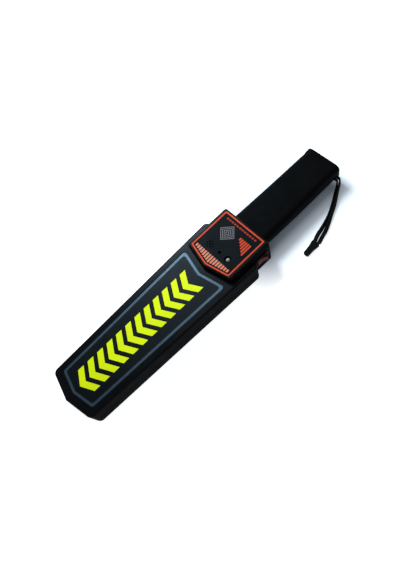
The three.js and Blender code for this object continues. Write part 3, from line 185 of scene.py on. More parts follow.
def rectangle(x_span, y_span):
    (left, right), (near, far) = x_span, y_span
    return [(left, near), (right, near), (right, far), (left, far)]


def around(centre, half):
    return (centre - half, centre + half)


def centred(half_x, half_y):
    return rectangle(around(0, half_x), around(0, half_y))


def inset(corners, distance):
    """Every side of the polygon moved inwards, or outwards where the distance is negative."""
    corners = [Vector(corner) for corner in corners]
    sides = []
    for start, end in zip(corners, corners[1:] + corners[:1]):
        along = (end - start).normalized()
        inward = Vector((-along.y, along.x))
        sides.append((start + inward * distance, along))
    shifted = []
    for i, (start, along) in enumerate(sides):
        before, before_along = sides[i - 1]
        reach = (start - before).cross(along) / before_along.cross(along)
        shifted.append(before + before_along * reach)
    return shifted


def direction(angle):
    return Vector((math.cos(angle), math.sin(angle)))


def outline(corners, radius, point_radius=None, distance=0):
    """A closed outline with arcs for corners, moved inwards by distance.

    The first corner has its own radius, and none at all where that is 0.
    """
    points = []
    corners = inset(corners, distance)
    for i, here in enumerate(corners):
        into = (here - corners[i - 1]).normalized()
        out = (corners[(i + 1) % len(corners)] - here).normalized()
        turn = math.atan2(into.cross(out), into.dot(out))
        side = math.copysign(1, turn)
        base = radius if i or point_radius is None else point_radius
        if base == 0:
            points.append(here)
            continue
        bend = base - side * distance
        heading = math.atan2(into.y, into.x)
        inward = heading + turn / 2 + side * math.pi / 2
        centre = here + bend / math.cos(turn / 2) * direction(inward)
        start = heading - side * math.pi / 2
        for k in range(CORNER_STEPS + 1):
            points.append(centre + bend * direction(start + turn * k / CORNER_STEPS))
    return points


def add_object(name, data):
    obj = bpy.data.objects.new(name, data)
    bpy.context.scene.collection.objects.link(obj)
    return obj


def solid(bm):
    """A helper object with that mesh. Faces point outwards."""
    bmesh.ops.recalc_face_normals(bm, faces=bm.faces)
    mesh = bpy.data.meshes.new("solid")
    bm.to_mesh(mesh)
    bm.free()
    return add_object("solid", mesh)


def loft(loops):
    """A solid through loops of equal length, closed at both ends. A loop of one point is a tip."""
    bm = bmesh.new()
    rows = [[bm.verts.new(p) for p in loop] for loop in loops]
    for low, high in zip(rows, rows[1:]):
        for i in range(max(len(low), len(high))):
            ring = [row[k % len(row)] for row, k in ((low, i), (low, i + 1), (high, i + 1), (high, i))]
            bm.faces.new(dict.fromkeys(ring))
    for row in (rows[0], rows[-1]):
        if len(row) > 1:
            bm.faces.new(row)
    return solid(bm)


def prism(points, span):
    return loft([[(x, y, z) for x, y in points] for z in span])


def box(x_span, y_span, z_span):
    return prism(rectangle(x_span, y_span), z_span)


def edge_profile(depth, inward, steps=EDGE_STEPS):
    """Pairs of inset and distance from the end face for a rounded edge."""
    if not depth:
        return [(0, 0)]
    turns = [k / steps * math.pi / 2 for k in range(steps + 1)]
    return [(inward * (1 - math.sin(t)), depth * (1 - math.cos(t))) for t in turns]


def slab(corners, span, radius, point_radius=None, bottom=SHARP, top=SHARP):
    """A plate whose bottom and top edges may be rounded, each given as depth and inset."""
    low, high = span
    levels = [(distance, low + rise) for distance, rise in edge_profile(*bottom)]
    levels += [(distance, high - rise) for distance, rise in reversed(edge_profile(*top))]
    loops = []
    for distance, z in levels:
        loops.append([(p.x, p.y, z) for p in outline(corners, radius, point_radius, distance)])
    return loft(loops)


def rim(radius, face, depth, inward, steps=EDGE_STEPS):
    """The profile of a round part's rounded edge, from its side up to its face."""
    return [(radius - shrink, face - rise) for shrink, rise in reversed(edge_profile(depth, inward, steps))]


def turned(profile, sides=ROUND_SIDES):
    """A solid of revolution about Z. The profile's points are (radius, height), from axis to axis."""
    turns = [math.tau * k / sides for k in range(sides)]
    loops = []
    for radius, z in profile:
        circle = [(radius * math.cos(turn), radius * math.sin(turn), z) for turn in turns]
        loops.append(circle if radius else [(0, 0, z)])
    return loft(loops)


def rod(radius, span, sides=ROUND_SIDES):
    low, high = span
    return turned([(0, low), (radius, low), (radius, high), (0, high)], sides)


def moved(obj, place=(0, 0, 0), turn=Matrix.Identity(4)):
    """The object's mesh turned about the origin and then moved."""
    obj.data.transform(Matrix.Translation(place) @ turn)
    return obj


def rotation(degrees, axis="Z"):
    return Matrix.Rotation(math.radians(degrees), 4, axis)


ALONG_Y = rotation(-90, "X")


def combine(base, others, operation):
    """Adds, cuts or intersects helper solids, which are used up."""
    for other in others:
        step = base.modifiers.new("step", "BOOLEAN")
        step.operation = operation
        step.solver = "MANIFOLD"
        step.object = other
    graph = bpy.context.evaluated_depsgraph_get()
    mesh = bpy.data.meshes.new_from_object(base.evaluated_get(graph))
    base.modifiers.clear()
    base.data = mesh
    for other in others:
        bpy.data.objects.remove(other)
    return base


def join(base, *others):
    return combine(base, others, "UNION")


def cut(base, *others):
    return combine(base, others, "DIFFERENCE")


def common(base, other):
    return combine(base, [other], "INTERSECT")


# Places of CAD nodes, in millimetres


def low_high(node):
    low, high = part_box(node)
    return low / MM, high / MM


def middle(node):
    """The middle of a CAD node's box."""
    low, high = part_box(node)
    return (low + high) / 2 / MM


def upright(node):
    """Where the node's upright axis meets the ground."""
    place = middle(node)
    return (place.x, place.y, 0)


def crosswise(node):
    """Where the node's axis across the housing meets the middle plane."""
    place = middle(node)
    return (place.x, 0, place.z)


# Finished pieces

SLOTS = {part["node"]: part["material_slot"] for part in frame["record"]["subparts"]}
REPLACED = set()
MATERIALS = {}


def shade(obj, finish, sharp):
    """Gives the object its material, and smooth faces up to that angle in degrees."""
    obj.data.materials.clear()
    obj.data.materials.append(MATERIALS[finish])
    obj.data.shade_smooth()
    obj.data.set_sharp_from_angle(angle=math.radians(sharp))
    normals = obj.modifiers.new("normals", "WEIGHTED_NORMAL")
    normals.keep_sharp = True


def piece(obj, name, finish, node=None, body="housing", sharp=35):
    """The finished piece in metres, riding on its body and standing for its CAD node, if it has one."""
    obj.data.transform(Matrix.Scale(MM, 4))
    obj.name = name
    obj.data.name = name
    shade(obj, finish, sharp)
    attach(obj, body)
    if node:
        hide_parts(node)
        REPLACED.add(node)
    return obj


# Materials


class Nodes:
    """Shorthand for making and linking the nodes of a material or world."""

    def __init__(self, owner):
        owner.use_nodes = True
        self.tree = owner.node_tree
        self.tree.nodes.clear()

    def feed(self, socket, value):
        if isinstance(value, bpy.types.NodeSocket):
            self.tree.links.new(value, socket)
        else:
            socket.default_value = value

    def fill(self, made, **inputs):
        for socket, value in inputs.items():
            self.feed(made.inputs[socket.replace("_", " ")], value)
        return made

    def node(self, kind, **inputs):
        return self.fill(self.tree.nodes.new("ShaderNode" + kind), **inputs)

    def ordered(self, kind, *values, operation=None):
        """The outputs of a node whose sockets are fed in their order."""
        made = self.node(kind)
        if operation:
            made.operation = operation
        for socket, value in zip(made.inputs, values):
            self.feed(socket, value)
        return made.outputs

    def maths(self, operation, first, second):
        return self.ordered("Math", first, second, operation=operation)["Value"]

    def span(self, value, low, high, start=0.0, end=1.0):
        """Maps value from low..high to start..end, clamped."""
        made = self.node("MapRange", Value=value, From_Min=low, From_Max=high, To_Min=start, To_Max=end)
        return made.outputs["Result"]

    def background_rays(self):
        """Rays that see the studio's white background: straight, or by a gloss or a clear part."""
        rays = self.node("LightPath").outputs
        return rays["Is Camera Ray"], rays["Is Glossy Ray"], rays["Is Transmission Ray"]


# Sockets of the Mix node: the factor and two colours going in, and the colour coming out
MIX_INPUTS = (0, 6, 7)
MIX_RESULT = 2


class Finish(Nodes):
    """A node material with one Principled shader, kept in MATERIALS by its name."""

    def __init__(self, name, **values):
        MATERIALS[name] = bpy.data.materials.new(name)
        super().__init__(MATERIALS[name])
        self.shader = self.node("BsdfPrincipled", **values)
        self.node("OutputMaterial", Surface=self.shader.outputs["BSDF"])

    def place(self, stretch=(1, 1, 1)):
        """Object coordinates in metres, stretched along the axes."""
        coordinates = self.node("TexCoord").outputs["Object"]
        return self.node("Mapping", Vector=coordinates, Scale=stretch).outputs["Vector"]

    def noise(self, scale, detail, roughness, stretch=(1, 1, 1)):
        place = self.place(stretch)
        made = self.node("TexNoise", Vector=place, Scale=scale, Detail=detail, Roughness=roughness)
        return made.outputs["Fac"]

    def patches(self, scale, detail, roughness, low, high, start=0.0, end=1.0):
        """Noise mapped from low..high to start..end, clamped."""
        return self.span(self.noise(scale, detail, roughness), low, high, start, end)

    def mix(self, factor, first, second):
        """A colour between two others."""
        made = self.node("Mix")
        made.data_type = "RGBA"
        for i, value in zip(MIX_INPUTS, (factor, first, second)):
            self.feed(made.inputs[i], value)
        return made.outputs[MIX_RESULT]

    def edges(self, radius):
        """1 on sharp edges and 0 on flat faces."""
        soft = self.node("Bevel", Radius=radius).outputs["Normal"]
        plain = self.node("NewGeometry").outputs["Normal"]
        alike = self.ordered("VectorMath", soft, plain, operation="DOT_PRODUCT")["Value"]
        return self.span(alike, 0.995, 0.85)

    def cover(self, colour, roughness, relief, depth, strength):
        """Links what varies over the surface to the shader."""
        bump = self.node("Bump", Height=relief, Distance=depth, Strength=strength).outputs["Normal"]
        self.fill(self.shader, Base_Color=colour, Roughness=roughness, Normal=bump)


# Tint of the gloss on black parts
COOL = (0.66, 0.87, 1.0, 1)
RUBBED_WIDTH = 0.0006


def grey(value, blue=1.0):
    return (value, value, value * blue, 1.0)


def moulded(name, colour, light, roughness, specular=0.4, grain=2600, depth=0.00004, wear=0.35, worn=0.09):
    """Moulded plastic: fine grain, slight mottling, and edges rubbed smooth and paler."""
    finish = Finish(name, Specular_IOR_Level=specular, Specular_Tint=COOL)
    pale = grey(worn, 1.05)
    body = finish.mix(finish.patches(38, 4, 0.6, 0.35, 0.7), colour, light)
    body = finish.mix(finish.patches(900, 2, 0.7, 0.62, 0.78, 0.0, 0.12), body, pale)
    rubbed = finish.maths("MULTIPLY", finish.edges(RUBBED_WIDTH), finish.patches(160, 5, 0.7, 0.42, 0.7))
    body = finish.mix(finish.maths("MULTIPLY", rubbed, wear), body, pale)
    rough = finish.patches(70, 4, 0.6, 0.3, 0.7, roughness - 0.05, roughness + 0.06)
    rough = finish.maths("SUBTRACT", rough, finish.maths("MULTIPLY", rubbed, 0.12))
    finish.cover(body, rough, finish.noise(grain, 2, 0.6), depth, 0.6)


def gloss(name, colour, light, roughness, coat=0.3, specular=0.5):
    """Hard glossy plastic or enamel with faint ripple, dust and fine scratches."""
    finish = Finish(name, Specular_IOR_Level=specular, Coat_Weight=coat, Coat_Roughness=0.08)
    dust = finish.patches(1500, 3, 0.75, 0.58, 0.8)
    scratches = finish.span(finish.noise(420, 2, 0.4, (1, 14, 1)), 0.6, 0.68)
    body = finish.mix(finish.patches(55, 3, 0.5, 0.35, 0.68), colour, light)
    body = finish.mix(finish.maths("MULTIPLY", dust, 0.04), body, grey(0.3))
    rough = finish.span(dust, 0, 1, roughness, roughness + 0.2)
    rough = finish.maths("ADD", rough, finish.maths("MULTIPLY", scratches, 0.1))
    finish.cover(body, rough, finish.noise(260, 2, 0.5), 0.000012, 0.5)


def metal(name, colour, dark, roughness):
    """Plated or turned metal with drawn lines and tarnish."""
    finish = Finish(name, Metallic=1.0)
    lines = finish.noise(900, 3, 0.6, (1, 1, 12))
    body = finish.mix(finish.patches(140, 5, 0.65, 0.4, 0.75), colour, dark)
    rough = finish.span(lines, 0.3, 0.7, roughness - 0.08, roughness + 0.12)
    finish.cover(body, rough, lines, 0.00001, 0.5)


def soft(name, colour, light, roughness=0.62, specular=0.3, grain=1800, depth=0.00005):
    """Rubber or soft plastic with a fine even skin."""
    finish = Finish(name, Specular_IOR_Level=specular, Sheen_Weight=0.03, Sheen_Roughness=0.5)
    body = finish.mix(finish.patches(90, 4, 0.6, 0.35, 0.7), colour, light)
    rough = finish.patches(300, 3, 0.6, 0.3, 0.7, roughness - 0.08, roughness + 0.08)
    finish.cover(body, rough, finish.noise(grain, 2, 0.6), depth, 0.6)


def film(name, colour, light, roughness, specular):
    """Printed polyester label film: satin, with a fine even emboss."""
    finish = Finish(name, Specular_IOR_Level=specular, Specular_Tint=COOL)
    pores = finish.node("TexVoronoi", Vector=finish.place(), Scale=1100).outputs["Distance"]
    body = finish.mix(finish.patches(24, 4, 0.6, 0.35, 0.7), colour, light)
    body = finish.mix(finish.span(pores, 0.1, 0.5, 0.1, 0.0), body, grey(0.06, 1.1))
    rough = finish.patches(60, 4, 0.6, 0.3, 0.7, roughness - 0.05, roughness + 0.06)
    finish.cover(body, rough, pores, 0.00003, 0.35)


def ink(name, colour, thin, roughness=0.5, specular=0.08, metallic=0.0):
    """Screen-printed ink: even, with slightly thin spots."""
    finish = Finish(name, Specular_IOR_Level=specular, Metallic=metallic)
    body = finish.mix(finish.patches(34, 4, 0.6, 0.35, 0.75, 0.0, 0.6), colour, thin)
    body = finish.mix(finish.patches(620, 4, 0.75, 0.63, 0.72, 0.0, 0.55), body, thin)
    rough = finish.patches(300, 3, 0.6, 0.3, 0.7, roughness - 0.05, roughness + 0.08)
    finish.cover(body, rough, finish.noise(1300, 2, 0.5), 0.00001, 0.4)


def braid(name, colour, light):
    """Woven strap: fibres across the ribs' own relief."""
    finish = Finish(name, Specular_IOR_Level=0.06, Sheen_Weight=0.01, Sheen_Roughness=0.4)
    fibre = finish.noise(5200, 3, 0.7, (1, 1, 2))
    body = finish.mix(finish.span(fibre, 0.35, 0.7), colour, light)
    body = finish.mix(finish.patches(240, 4, 0.6, 0.5, 0.8, 0.0, 0.4), body, grey(0.03))
    finish.cover(body, 0.78, fibre, 0.00006, 0.7)


def winding(name, colour, dark):
    """Enamelled wire wound in layers: fine level lines round the former."""
    finish = Finish(name, Metallic=0.75, Coat_Weight=0.4, Coat_Roughness=0.2)
    turns = finish.noise(420, 2, 0.5, (0.15, 0.15, 6))
    body = finish.mix(finish.span(turns, 0.35, 0.65), dark, colour)
    finish.cover(body, finish.span(turns, 0.3, 0.7, 0.45, 0.28), turns, 0.00012, 0.8)


def lens(name, colour, light):
    """Milky resin with a clear skin."""
    finish = Finish(name, IOR=1.52, Transmission_Weight=0.12, Coat_Weight=0.5, Coat_Roughness=0.06)
    haze = finish.noise(700, 3, 0.6)
    body = finish.mix(finish.span(haze, 0.35, 0.7), colour, light)
    finish.cover(body, finish.span(haze, 0.3, 0.7, 0.2, 0.34), haze, 0.00001, 0.3)


moulded("housing", grey(0.0025, 1.15), grey(0.004, 1.2), 0.38, 0.08, worn=0.05)
# A darker, less glossy copy of the housing plastic, used on the case's walls and in the lamp's recess:
# painted shade
moulded("side", grey(0.0014, 1.05), grey(0.0026, 1.1), 0.6, 0.015, 1700, 0.00007, 0.3, 0.03)
moulded("back", grey(0.0018, 1.1), grey(0.003, 1.1), 0.6, 0.012, worn=0.04)
moulded("grip", grey(0.0014, 1.05), grey(0.0026, 1.1), 0.68, 0.035, 1700, 0.00007, 0.25, 0.04)
film("label", (0.0028, 0.0042, 0.0058, 1), (0.0042, 0.006, 0.008, 1), 0.44, 0.09)
film("panel", (0.0032, 0.0046, 0.006, 1), (0.0046, 0.0062, 0.008, 1), 0.5, 0.03)
ink("ink_blue", (0.045, 0.08, 0.108, 1), (0.038, 0.068, 0.092, 1), 0.42, 0.2, 0.55)
ink("ink_lime", (0.84, 1.0, 0.004, 1), (0.7, 0.86, 0.006, 1))
ink("ink_orange", (0.68, 0.07, 0.02, 1), (0.56, 0.055, 0.018, 1))
ink("ink_red", (0.42, 0.035, 0.015, 1), (0.34, 0.03, 0.015, 1))
ink("ink_pale", (0.72, 0.25, 0.15, 1), (0.62, 0.2, 0.11, 1))
ink("ink_grey", grey(0.17, 1.05), grey(0.13, 1.05))
gloss("rocker_red", (0.15, 0.006, 0.01, 1), (0.19, 0.008, 0.012, 1), 0.4, 0, 0.1)
gloss("switch_black", grey(0.002), grey(0.0035), 0.42, 0, 0.08)
soft("button_grey", grey(0.012, 1.1), grey(0.018, 1.1))
lens("lamp_clear", (0.4, 0.41, 0.42, 1), (0.52, 0.53, 0.54, 1))
metal("steel", grey(0.58), grey(0.4), 0.26)
metal("dark_steel", grey(0.2), grey(0.1), 0.34)
metal("brass", (0.62, 0.42, 0.18, 1), (0.42, 0.25, 0.1, 1), 0.26)
gloss("board_green", (0.012, 0.13, 0.05, 1), (0.02, 0.18, 0.07, 1), 0.3)
winding("copper", (0.5, 0.16, 0.05, 1), (0.25, 0.07, 0.02, 1))
moulded("former_cream", (0.6, 0.54, 0.42, 1), (0.68, 0.62, 0.5, 1), 0.5, worn=0.75)
moulded("chip_black", grey(0.01), grey(0.015), 0.5)
gloss("capacitor_blue", (0.012, 0.028, 0.12, 1), (0.02, 0.04, 0.15, 1), 0.25)
moulded("trimmer_blue", (0.02, 0.11, 0.38, 1), (0.03, 0.14, 0.44, 1), 0.42, worn=0.4)
soft("cone_paper", grey(0.03), grey(0.045), 0.85, grain=2400, depth=0.0001)
moulded("magnet_grey", grey(0.07), grey(0.1), 0.6, worn=0.2)
gloss("battery_case", grey(0.025, 1.15), grey(0.035, 1.15), 0.25, 0.4)
moulded("plate_brown", (0.1, 0.05, 0.024, 1), (0.14, 0.07, 0.035, 1), 0.6)
braid("cord_black", grey(0.0025), grey(0.006))
soft("ferrule_black", grey(0.002), grey(0.004), 0.55, 0.06)
soft("lead_red", (0.42, 0.015, 0.015, 1), (0.5, 0.025, 0.02, 1), 0.4)
soft("lead_black", grey(0.008), grey(0.013), 0.4)
soft("lead_grey", grey(0.17), grey(0.22), 0.45)


# Camera


def make_camera():
    data = bpy.data.cameras.new("camera")
    data.lens = CAMERA_LENS
    data.sensor_width = CAMERA_SENSOR
    data.clip_start = CAMERA_NEAREST
    camera = add_object("camera", data)
    right, up = Vector(CAMERA_RIGHT), Vector(CAMERA_UP)
    axes = Matrix((right, up, right.cross(up))).transposed()
    camera.matrix_world = Matrix.Translation(CAMERA_PLACE) @ axes.to_4x4()
    bpy.context.scene.camera = camera


make_camera()


# Wrist strap


def between(a, b, start, end, t):
    return a * ((end - t) / (end - start)) + b * ((t - start) / (end - start))


def smooth_path(points):
    """A centripetal Catmull-Rom curve through the points, as the CAD source has it."""
    full = [points[0] * 2 - points[1], *points, points[-1] * 2 - points[-2]]
    path = []
    for p0, p1, p2, p3 in zip(full, full[1:], full[2:], full[3:]):
        t1 = (p1 - p0).length ** 0.5
        t2 = t1 + (p2 - p1).length ** 0.5
        t3 = t2 + (p3 - p2).length ** 0.5
        for k in range(STRAP_STEPS_PER_SPAN):
            t = t1 + (t2 - t1) * k / STRAP_STEPS_PER_SPAN
            a1 = between(p0, p1, 0, t1, t)
            a2 = between(p1, p2, t1, t2, t)
            a3 = between(p2, p3, t2, t3, t)
            b1 = between(a1, a2, 0, t2, t)
            b2 = between(a2, a3, t1, t3, t)
            path.append(between(b1, b2, t1, t2, t))
    return [*path, points[-1]]


def even(path):
    """The same path with its points one step apart."""
    made = [path[0]]
    left = STRAP_STEP
    for a, b in zip(path, path[1:]):
        length = (b - a).length
        while left <= length:
            a = a + (b - a) * (left / length)
            made.append(a)
            length = (b - a).length
            left = STRAP_STEP
        left -= length
    return [*made, path[-1]]


def strap_section():
    """The strap's cross section as points round it, evenly spaced on the wide faces."""
    points = []
    flat = STRAP_HALF_WIDTH - STRAP_ROUNDING
    for face in (1, -1):
        for k in range(STRAP_ACROSS + 1):
            points.append((face * flat * (1 - 2 * k / STRAP_ACROSS), face * STRAP_HALF_THICKNESS))
        for k in range(1, STRAP_EDGE_STEPS + 1):
            turn = math.pi * k / (STRAP_EDGE_STEPS + 1)
            out = flat + STRAP_ROUNDING * math.sin(turn)
            points.append((-face * out, face * STRAP_HALF_THICKNESS * math.cos(turn)))
    return points


def lean_at(travelled):
    for (start, low), (end, high) in zip(STRAP_LEAN, STRAP_LEAN[1:]):
        if travelled < end:
            return math.radians(low + (high - low) * (travelled - start) / (end - start))
    return math.radians(STRAP_LEAN[-1][1])


def woven_strap(path, leans):
    """A flat woven strap that leans over along its way: ribs cross it both ways on its two faces."""
    section_points = strap_section()
    rows = []
    travelled = 0.0
    for i, point in enumerate(path):
        before, after = path[max(i - 1, 0)], path[min(i + 1, len(path) - 1)]
        ahead = (after - before).normalized()
        level = Vector((ahead.y, -ahead.x, 0)).normalized()
        travelled += (point - before).length
        lean = lean_at(travelled) if leans else 0
        side = level.cross(ahead) * math.cos(lean) + level * math.sin(lean)
        out = ahead.cross(side)
        row = []
        for across, rise in section_points:
            over, along = across * math.pi / WEAVE_PITCHES[0], travelled * math.pi / WEAVE_PITCHES[1]
            ribs = max(math.cos(over + along), math.cos(over - along))
            sink = WEAVE_DEPTH * (1 - ribs) * rise / STRAP_HALF_THICKNESS
            row.append(point + side * across + out * (rise - sink))
        rows.append(row)
    return loft(rows)


FERRULE_PLACE = (123.2, -61.4, 0)
FERRULE_TURN = 184.5
FERRULE_LENGTH = 21
FERRULE_HALF_WIDTHS = (5.1, 3.9, 3.4)
FERRULE_SHOULDER = 3
FERRULE_NECK = 10
FERRULE_HEIGHT = 4.2
FERRULE_CORNER = 2.2
FERRULE_EDGE = (0.9, 0.9)
FERRULE_RIBS = 4
FERRULE_FIRST_RIB = 11
FERRULE_RIB_PITCH = 2.3
FERRULE_GROOVE = (0.35, 0.35)


def end_fitting():
    """The strap's moulded end: a wide foot, a waist and ribs for the fingers."""
    wide, neck, tip = FERRULE_HALF_WIDTHS
    right = [(0, -wide), (FERRULE_SHOULDER, -wide), (FERRULE_NECK, -neck), (FERRULE_LENGTH, -tip)]
    whole = (0, FERRULE_HEIGHT)
    body = slab(both_sides(right), whole, FERRULE_CORNER, None, FERRULE_EDGE, FERRULE_EDGE)
    half, depth = FERRULE_GROOVE
    above = FERRULE_HEIGHT + OVERRUN
    grooves = []
    for i in range(FERRULE_RIBS):
        along = around(FERRULE_FIRST_RIB + FERRULE_RIB_PITCH * i, half)
        grooves.append(box(along, (-wide, wide), (FERRULE_HEIGHT - depth, above)))
        for side in (-1, 1):
            across = sorted((side * wide, side * (neck - depth)))
            grooves.append(box(along, across, (-OVERRUN, above)))
    moved(cut(body, *grooves), FERRULE_PLACE, rotation(FERRULE_TURN))
    return piece(body, "cord_fitting", "ferrule_black", "strap_ferrule")


def bight_path():
    """Half a turn round the pin in the grip's corner, with a straight tail at each end."""
    x, y, _ = middle("strap_pin")
    z = INNER_ROUTE[0][2]
    turns = [math.pi * k / BIGHT_STEPS for k in range(BIGHT_STEPS + 1)]
    arc = [Vector((x - BIGHT_RADIUS * math.cos(t), y + BIGHT_RADIUS * math.sin(t), z)) for t in turns]
    start, end = (Vector((x + side * BIGHT_RADIUS, y - BIGHT_TAIL, z)) for side in (-1, 1))
    return [start, *arc, end]


def strap_piece(line, name, node, leans=True):
    return piece(woven_strap(line, leans), name, "cord_black", node, sharp=180)


def wrist_strap():
    fitting = end_fitting()
    for name, route in (("inner", INNER_ROUTE), ("outer", OUTER_ROUTE)):
        placed = [Vector(point) + Vector(STRAP_ORIGIN) for point in route]
        line = even(smooth_path(placed))
        strand = strap_piece(line, "cord_" + name, f"strap_{name}_strand")
    strap_piece(even(bight_path()), "cord_bight", "strap_bight", leans=False)


wrist_strap()


# Housing


PADDLE_CORNERS = both_sides([
    (TIP_X, 0),
    (TIP_X + PADDLE_POINT, -PADDLE_HALF_WIDTHS[0]),
    (SHOULDER_X, -PADDLE_HALF_WIDTHS[1]),
])
HEAD_CORNERS = both_sides([
    (HEAD_FRONT_X, 0),
    (HEAD_FRONT_X + HEAD_POINT, -HEAD_HALF_WIDTH),
    (HEAD_BACK_X, -HEAD_HALF_WIDTH),
])


def section(half, bottom, top):
    """The grip's cross section, its corners curved as in the CAD source."""
    top_radius, bottom_radius = SECTION_RADII
    across = (top_radius / GRIP_END[0], bottom_radius / GRIP_END[0])
    up = (top_radius / SECTION_HEIGHT, bottom_radius / SECTION_HEIGHT)
    lower_corner = ((1 - across[1], 0), (1, 0), (1, up[1]))
    upper_corner = ((1, 1 - up[0]), (1, 1), (1 - across[0], 1))
    points = []
    for curve in (lower_corner, upper_corner):
        for k in range(SECTION_STEPS + 1):
            t = k / SECTION_STEPS
            y, z = ((1 - t) ** 2 * a + 2 * t * (1 - t) * b + t * t * c for a, b, c in zip(*curve))
            points.append((y * half, bottom + z * (top - bottom)))
    return points + [(-y, z) for y, z in reversed(points)]


def bar(stations):
    return loft([[(x, y, z) for y, z in section(half, bottom, top)] for x, half, bottom, top in stations])


def grip_stations():
    neck, neck_bottom = GRIP_NECK
    end, end_bottom = GRIP_END
    rise, chamfer = LIP_RISE, LIP_RISE - LIP_CHAMFER
    return [
        (HEAD_BACK_X - GRIP_START, neck, neck_bottom, GRIP_TOP),
        (HEAD_BACK_X, neck, neck_bottom, GRIP_TOP),
        (GRIP_TAPER_END, (neck + end) / 2, end_bottom, GRIP_TOP),
        (END_X - LIP_LENGTH, end, end_bottom, GRIP_TOP),
        (END_X - LIP_LAND, end + rise, end_bottom - rise, GRIP_TOP + rise),
        (END_X - LIP_CHAMFER, end + rise, end_bottom - rise, GRIP_TOP + rise),
        (END_X, end + chamfer, end_bottom - chamfer, GRIP_TOP + chamfer),
    ]


def grip_outside():
    start = HEAD_BACK_X - GRIP_START - OVERRUN
    envelope = both_sides([(start, -HEAD_HALF_WIDTH), (END_X, -GRIP_END[0] - LIP_RISE)])
    return common(bar(grip_stations()), slab(envelope, (0, HEAD_HEIGHT), GRIP_CORNER))


DOOR_LOW, DOOR_HIGH = low_high("battery_door")
DOOR_FLANGE_X = DOOR_LOW.x + DOOR_FLANGE
DOOR_GROOVE_X = DOOR_LOW.x - GAP
DOOR_FACE = (DOOR_LOW.z + DOOR_STEP, DOOR_HIGH.z - DOOR_STEP)


def housing_inside():
    paddle_span = (WALL, PADDLE_HEIGHT - WALL)
    corners = inset(PADDLE_CORNERS, WALL)
    paddle = slab(corners, paddle_span, PADDLE_RADIUS - WALL, 0, PADDLE_INNER_EDGE, PADDLE_INNER_EDGE)
    slope = (HEAD_SLOPE[0] - WALL, HEAD_SLOPE[1])
    head = slab(inset(HEAD_CORNERS, WALL), (WALL, HEAD_HEIGHT - WALL), HEAD_RADIUS, 0, slope, slope)
    stations = [
        (x, half - GRIP_WALL, bottom + GRIP_WALL, top - GRIP_WALL)
        for x, half, bottom, top in grip_stations()[:4]
    ]
    stations[0] = (stations[0][0] + WALL, *stations[0][1:])
    stations.append((DOOR_GROOVE_X, *stations[-1][1:]))
    return join(paddle, head, bar(stations))


def end_opening():
    """The slot at the grip's end that the battery door slides in."""
    across = (DOOR_LOW.y - GAP, GRIP_OUTSIDE)
    low, high = DOOR_FACE
    return [
        box((DOOR_FLANGE_X - GAP, END_X + OVERRUN), across, (low - GAP, high + GAP)),
        box((DOOR_GROOVE_X, DOOR_FLANGE_X + GAP), across, (DOOR_LOW.z - GAP, DOOR_HIGH.z + GAP)),
    ]


def seam_groove():
    """A shallow step along the parting line, so that it reads as a line from any side."""
    depth, half = SEAM_GROOVE
    rings = []
    for corners, radius in ((PADDLE_CORNERS, PADDLE_RADIUS), (HEAD_CORNERS, HEAD_RADIUS)):
        outer = slab(inset(corners, -OVERRUN), around(SEAM, half), radius, 0)
        rings.append(cut(outer, slab(inset(corners, depth), (0, HEAD_HEIGHT), radius - depth, 0)))
    return rings


SOUND_RING = (8, 3.8, 0.85)
SOUND_RING_EDGE = 0.12
SOUND_HOLE = 1.2
TRIMMER_HOLE = 1.7
LAMP_RECESS = (4.1, 1.6)
LAMP_BORE = 3.25
HOLE_EDGE = 0.25
HOLE_EDGE_STEPS = 3


def eased_hole(radius, face, through, place, edge=HOLE_EDGE):
    """A cutter for a round hole whose rim at the face is rounded a little."""
    above = face + OVERRUN
    eased = rim(radius, face, edge, -edge, HOLE_EDGE_STEPS)
    profile = [(0, through), (radius, through), *eased, (radius + edge, above), (0, above)]
    return moved(turned(profile), place)


def face_holes(face):
    """The sound holes, the adjuster's hole and the lamp's recess in the control face."""
    count, ring, small = SOUND_RING
    through = HEAD_HEIGHT - WALL - OVERRUN
    speaker = upright("speaker_cone")
    holes = [eased_hole(SOUND_HOLE, face, through, speaker)]
    for i in range(count):
        place = Vector(speaker) + ring * direction(math.tau * i / count).to_3d()
        holes.append(eased_hole(small, face, through, place, SOUND_RING_EDGE))
    holes.append(eased_hole(TRIMMER_HOLE, face, through, upright("trimmer_screw")))
    radius, depth = LAMP_RECESS
    lamp = upright("lamp_lens")
    holes.append(eased_hole(radius, face, HEAD_HEIGHT - depth, lamp))
    holes.append(moved(rod(LAMP_BORE, (through, HEAD_HEIGHT - depth + GAP)), lamp))
    return holes


SWITCH_BODY = (8.5, 5.35)
SWITCH_POCKET = (7.8, 4.15)
SWITCH_POCKET_DEPTH = 8
SWITCH_LEAD_IN = 0.5
BEZEL_THICKNESS = 1.8
BEZEL_RADIUS = 1.2
BEZEL_EDGE = (0.45, 0.45)
BUTTON_HOLE = 4.5
JACK_HOLE = 3.2


def side_openings():
    """The switch's opening in the right wall, and the button's and the socket's holes in the left."""
    centre = middle("switch_frame")
    long, high = SWITCH_BODY
    inner, outer = HEAD_HALF_WIDTH - WALL - OVERRUN, HEAD_HALF_WIDTH + OVERRUN
    holes = [box(around(centre.x, long + GAP), (-outer, -inner), around(centre.z, high + GAP))]
    for node, radius in (("sense_button", BUTTON_HOLE), ("phone_jack", JACK_HOLE)):
        holes.append(moved(rod(radius, (inner, outer)), crosswise(node), ALONG_Y))
    return holes


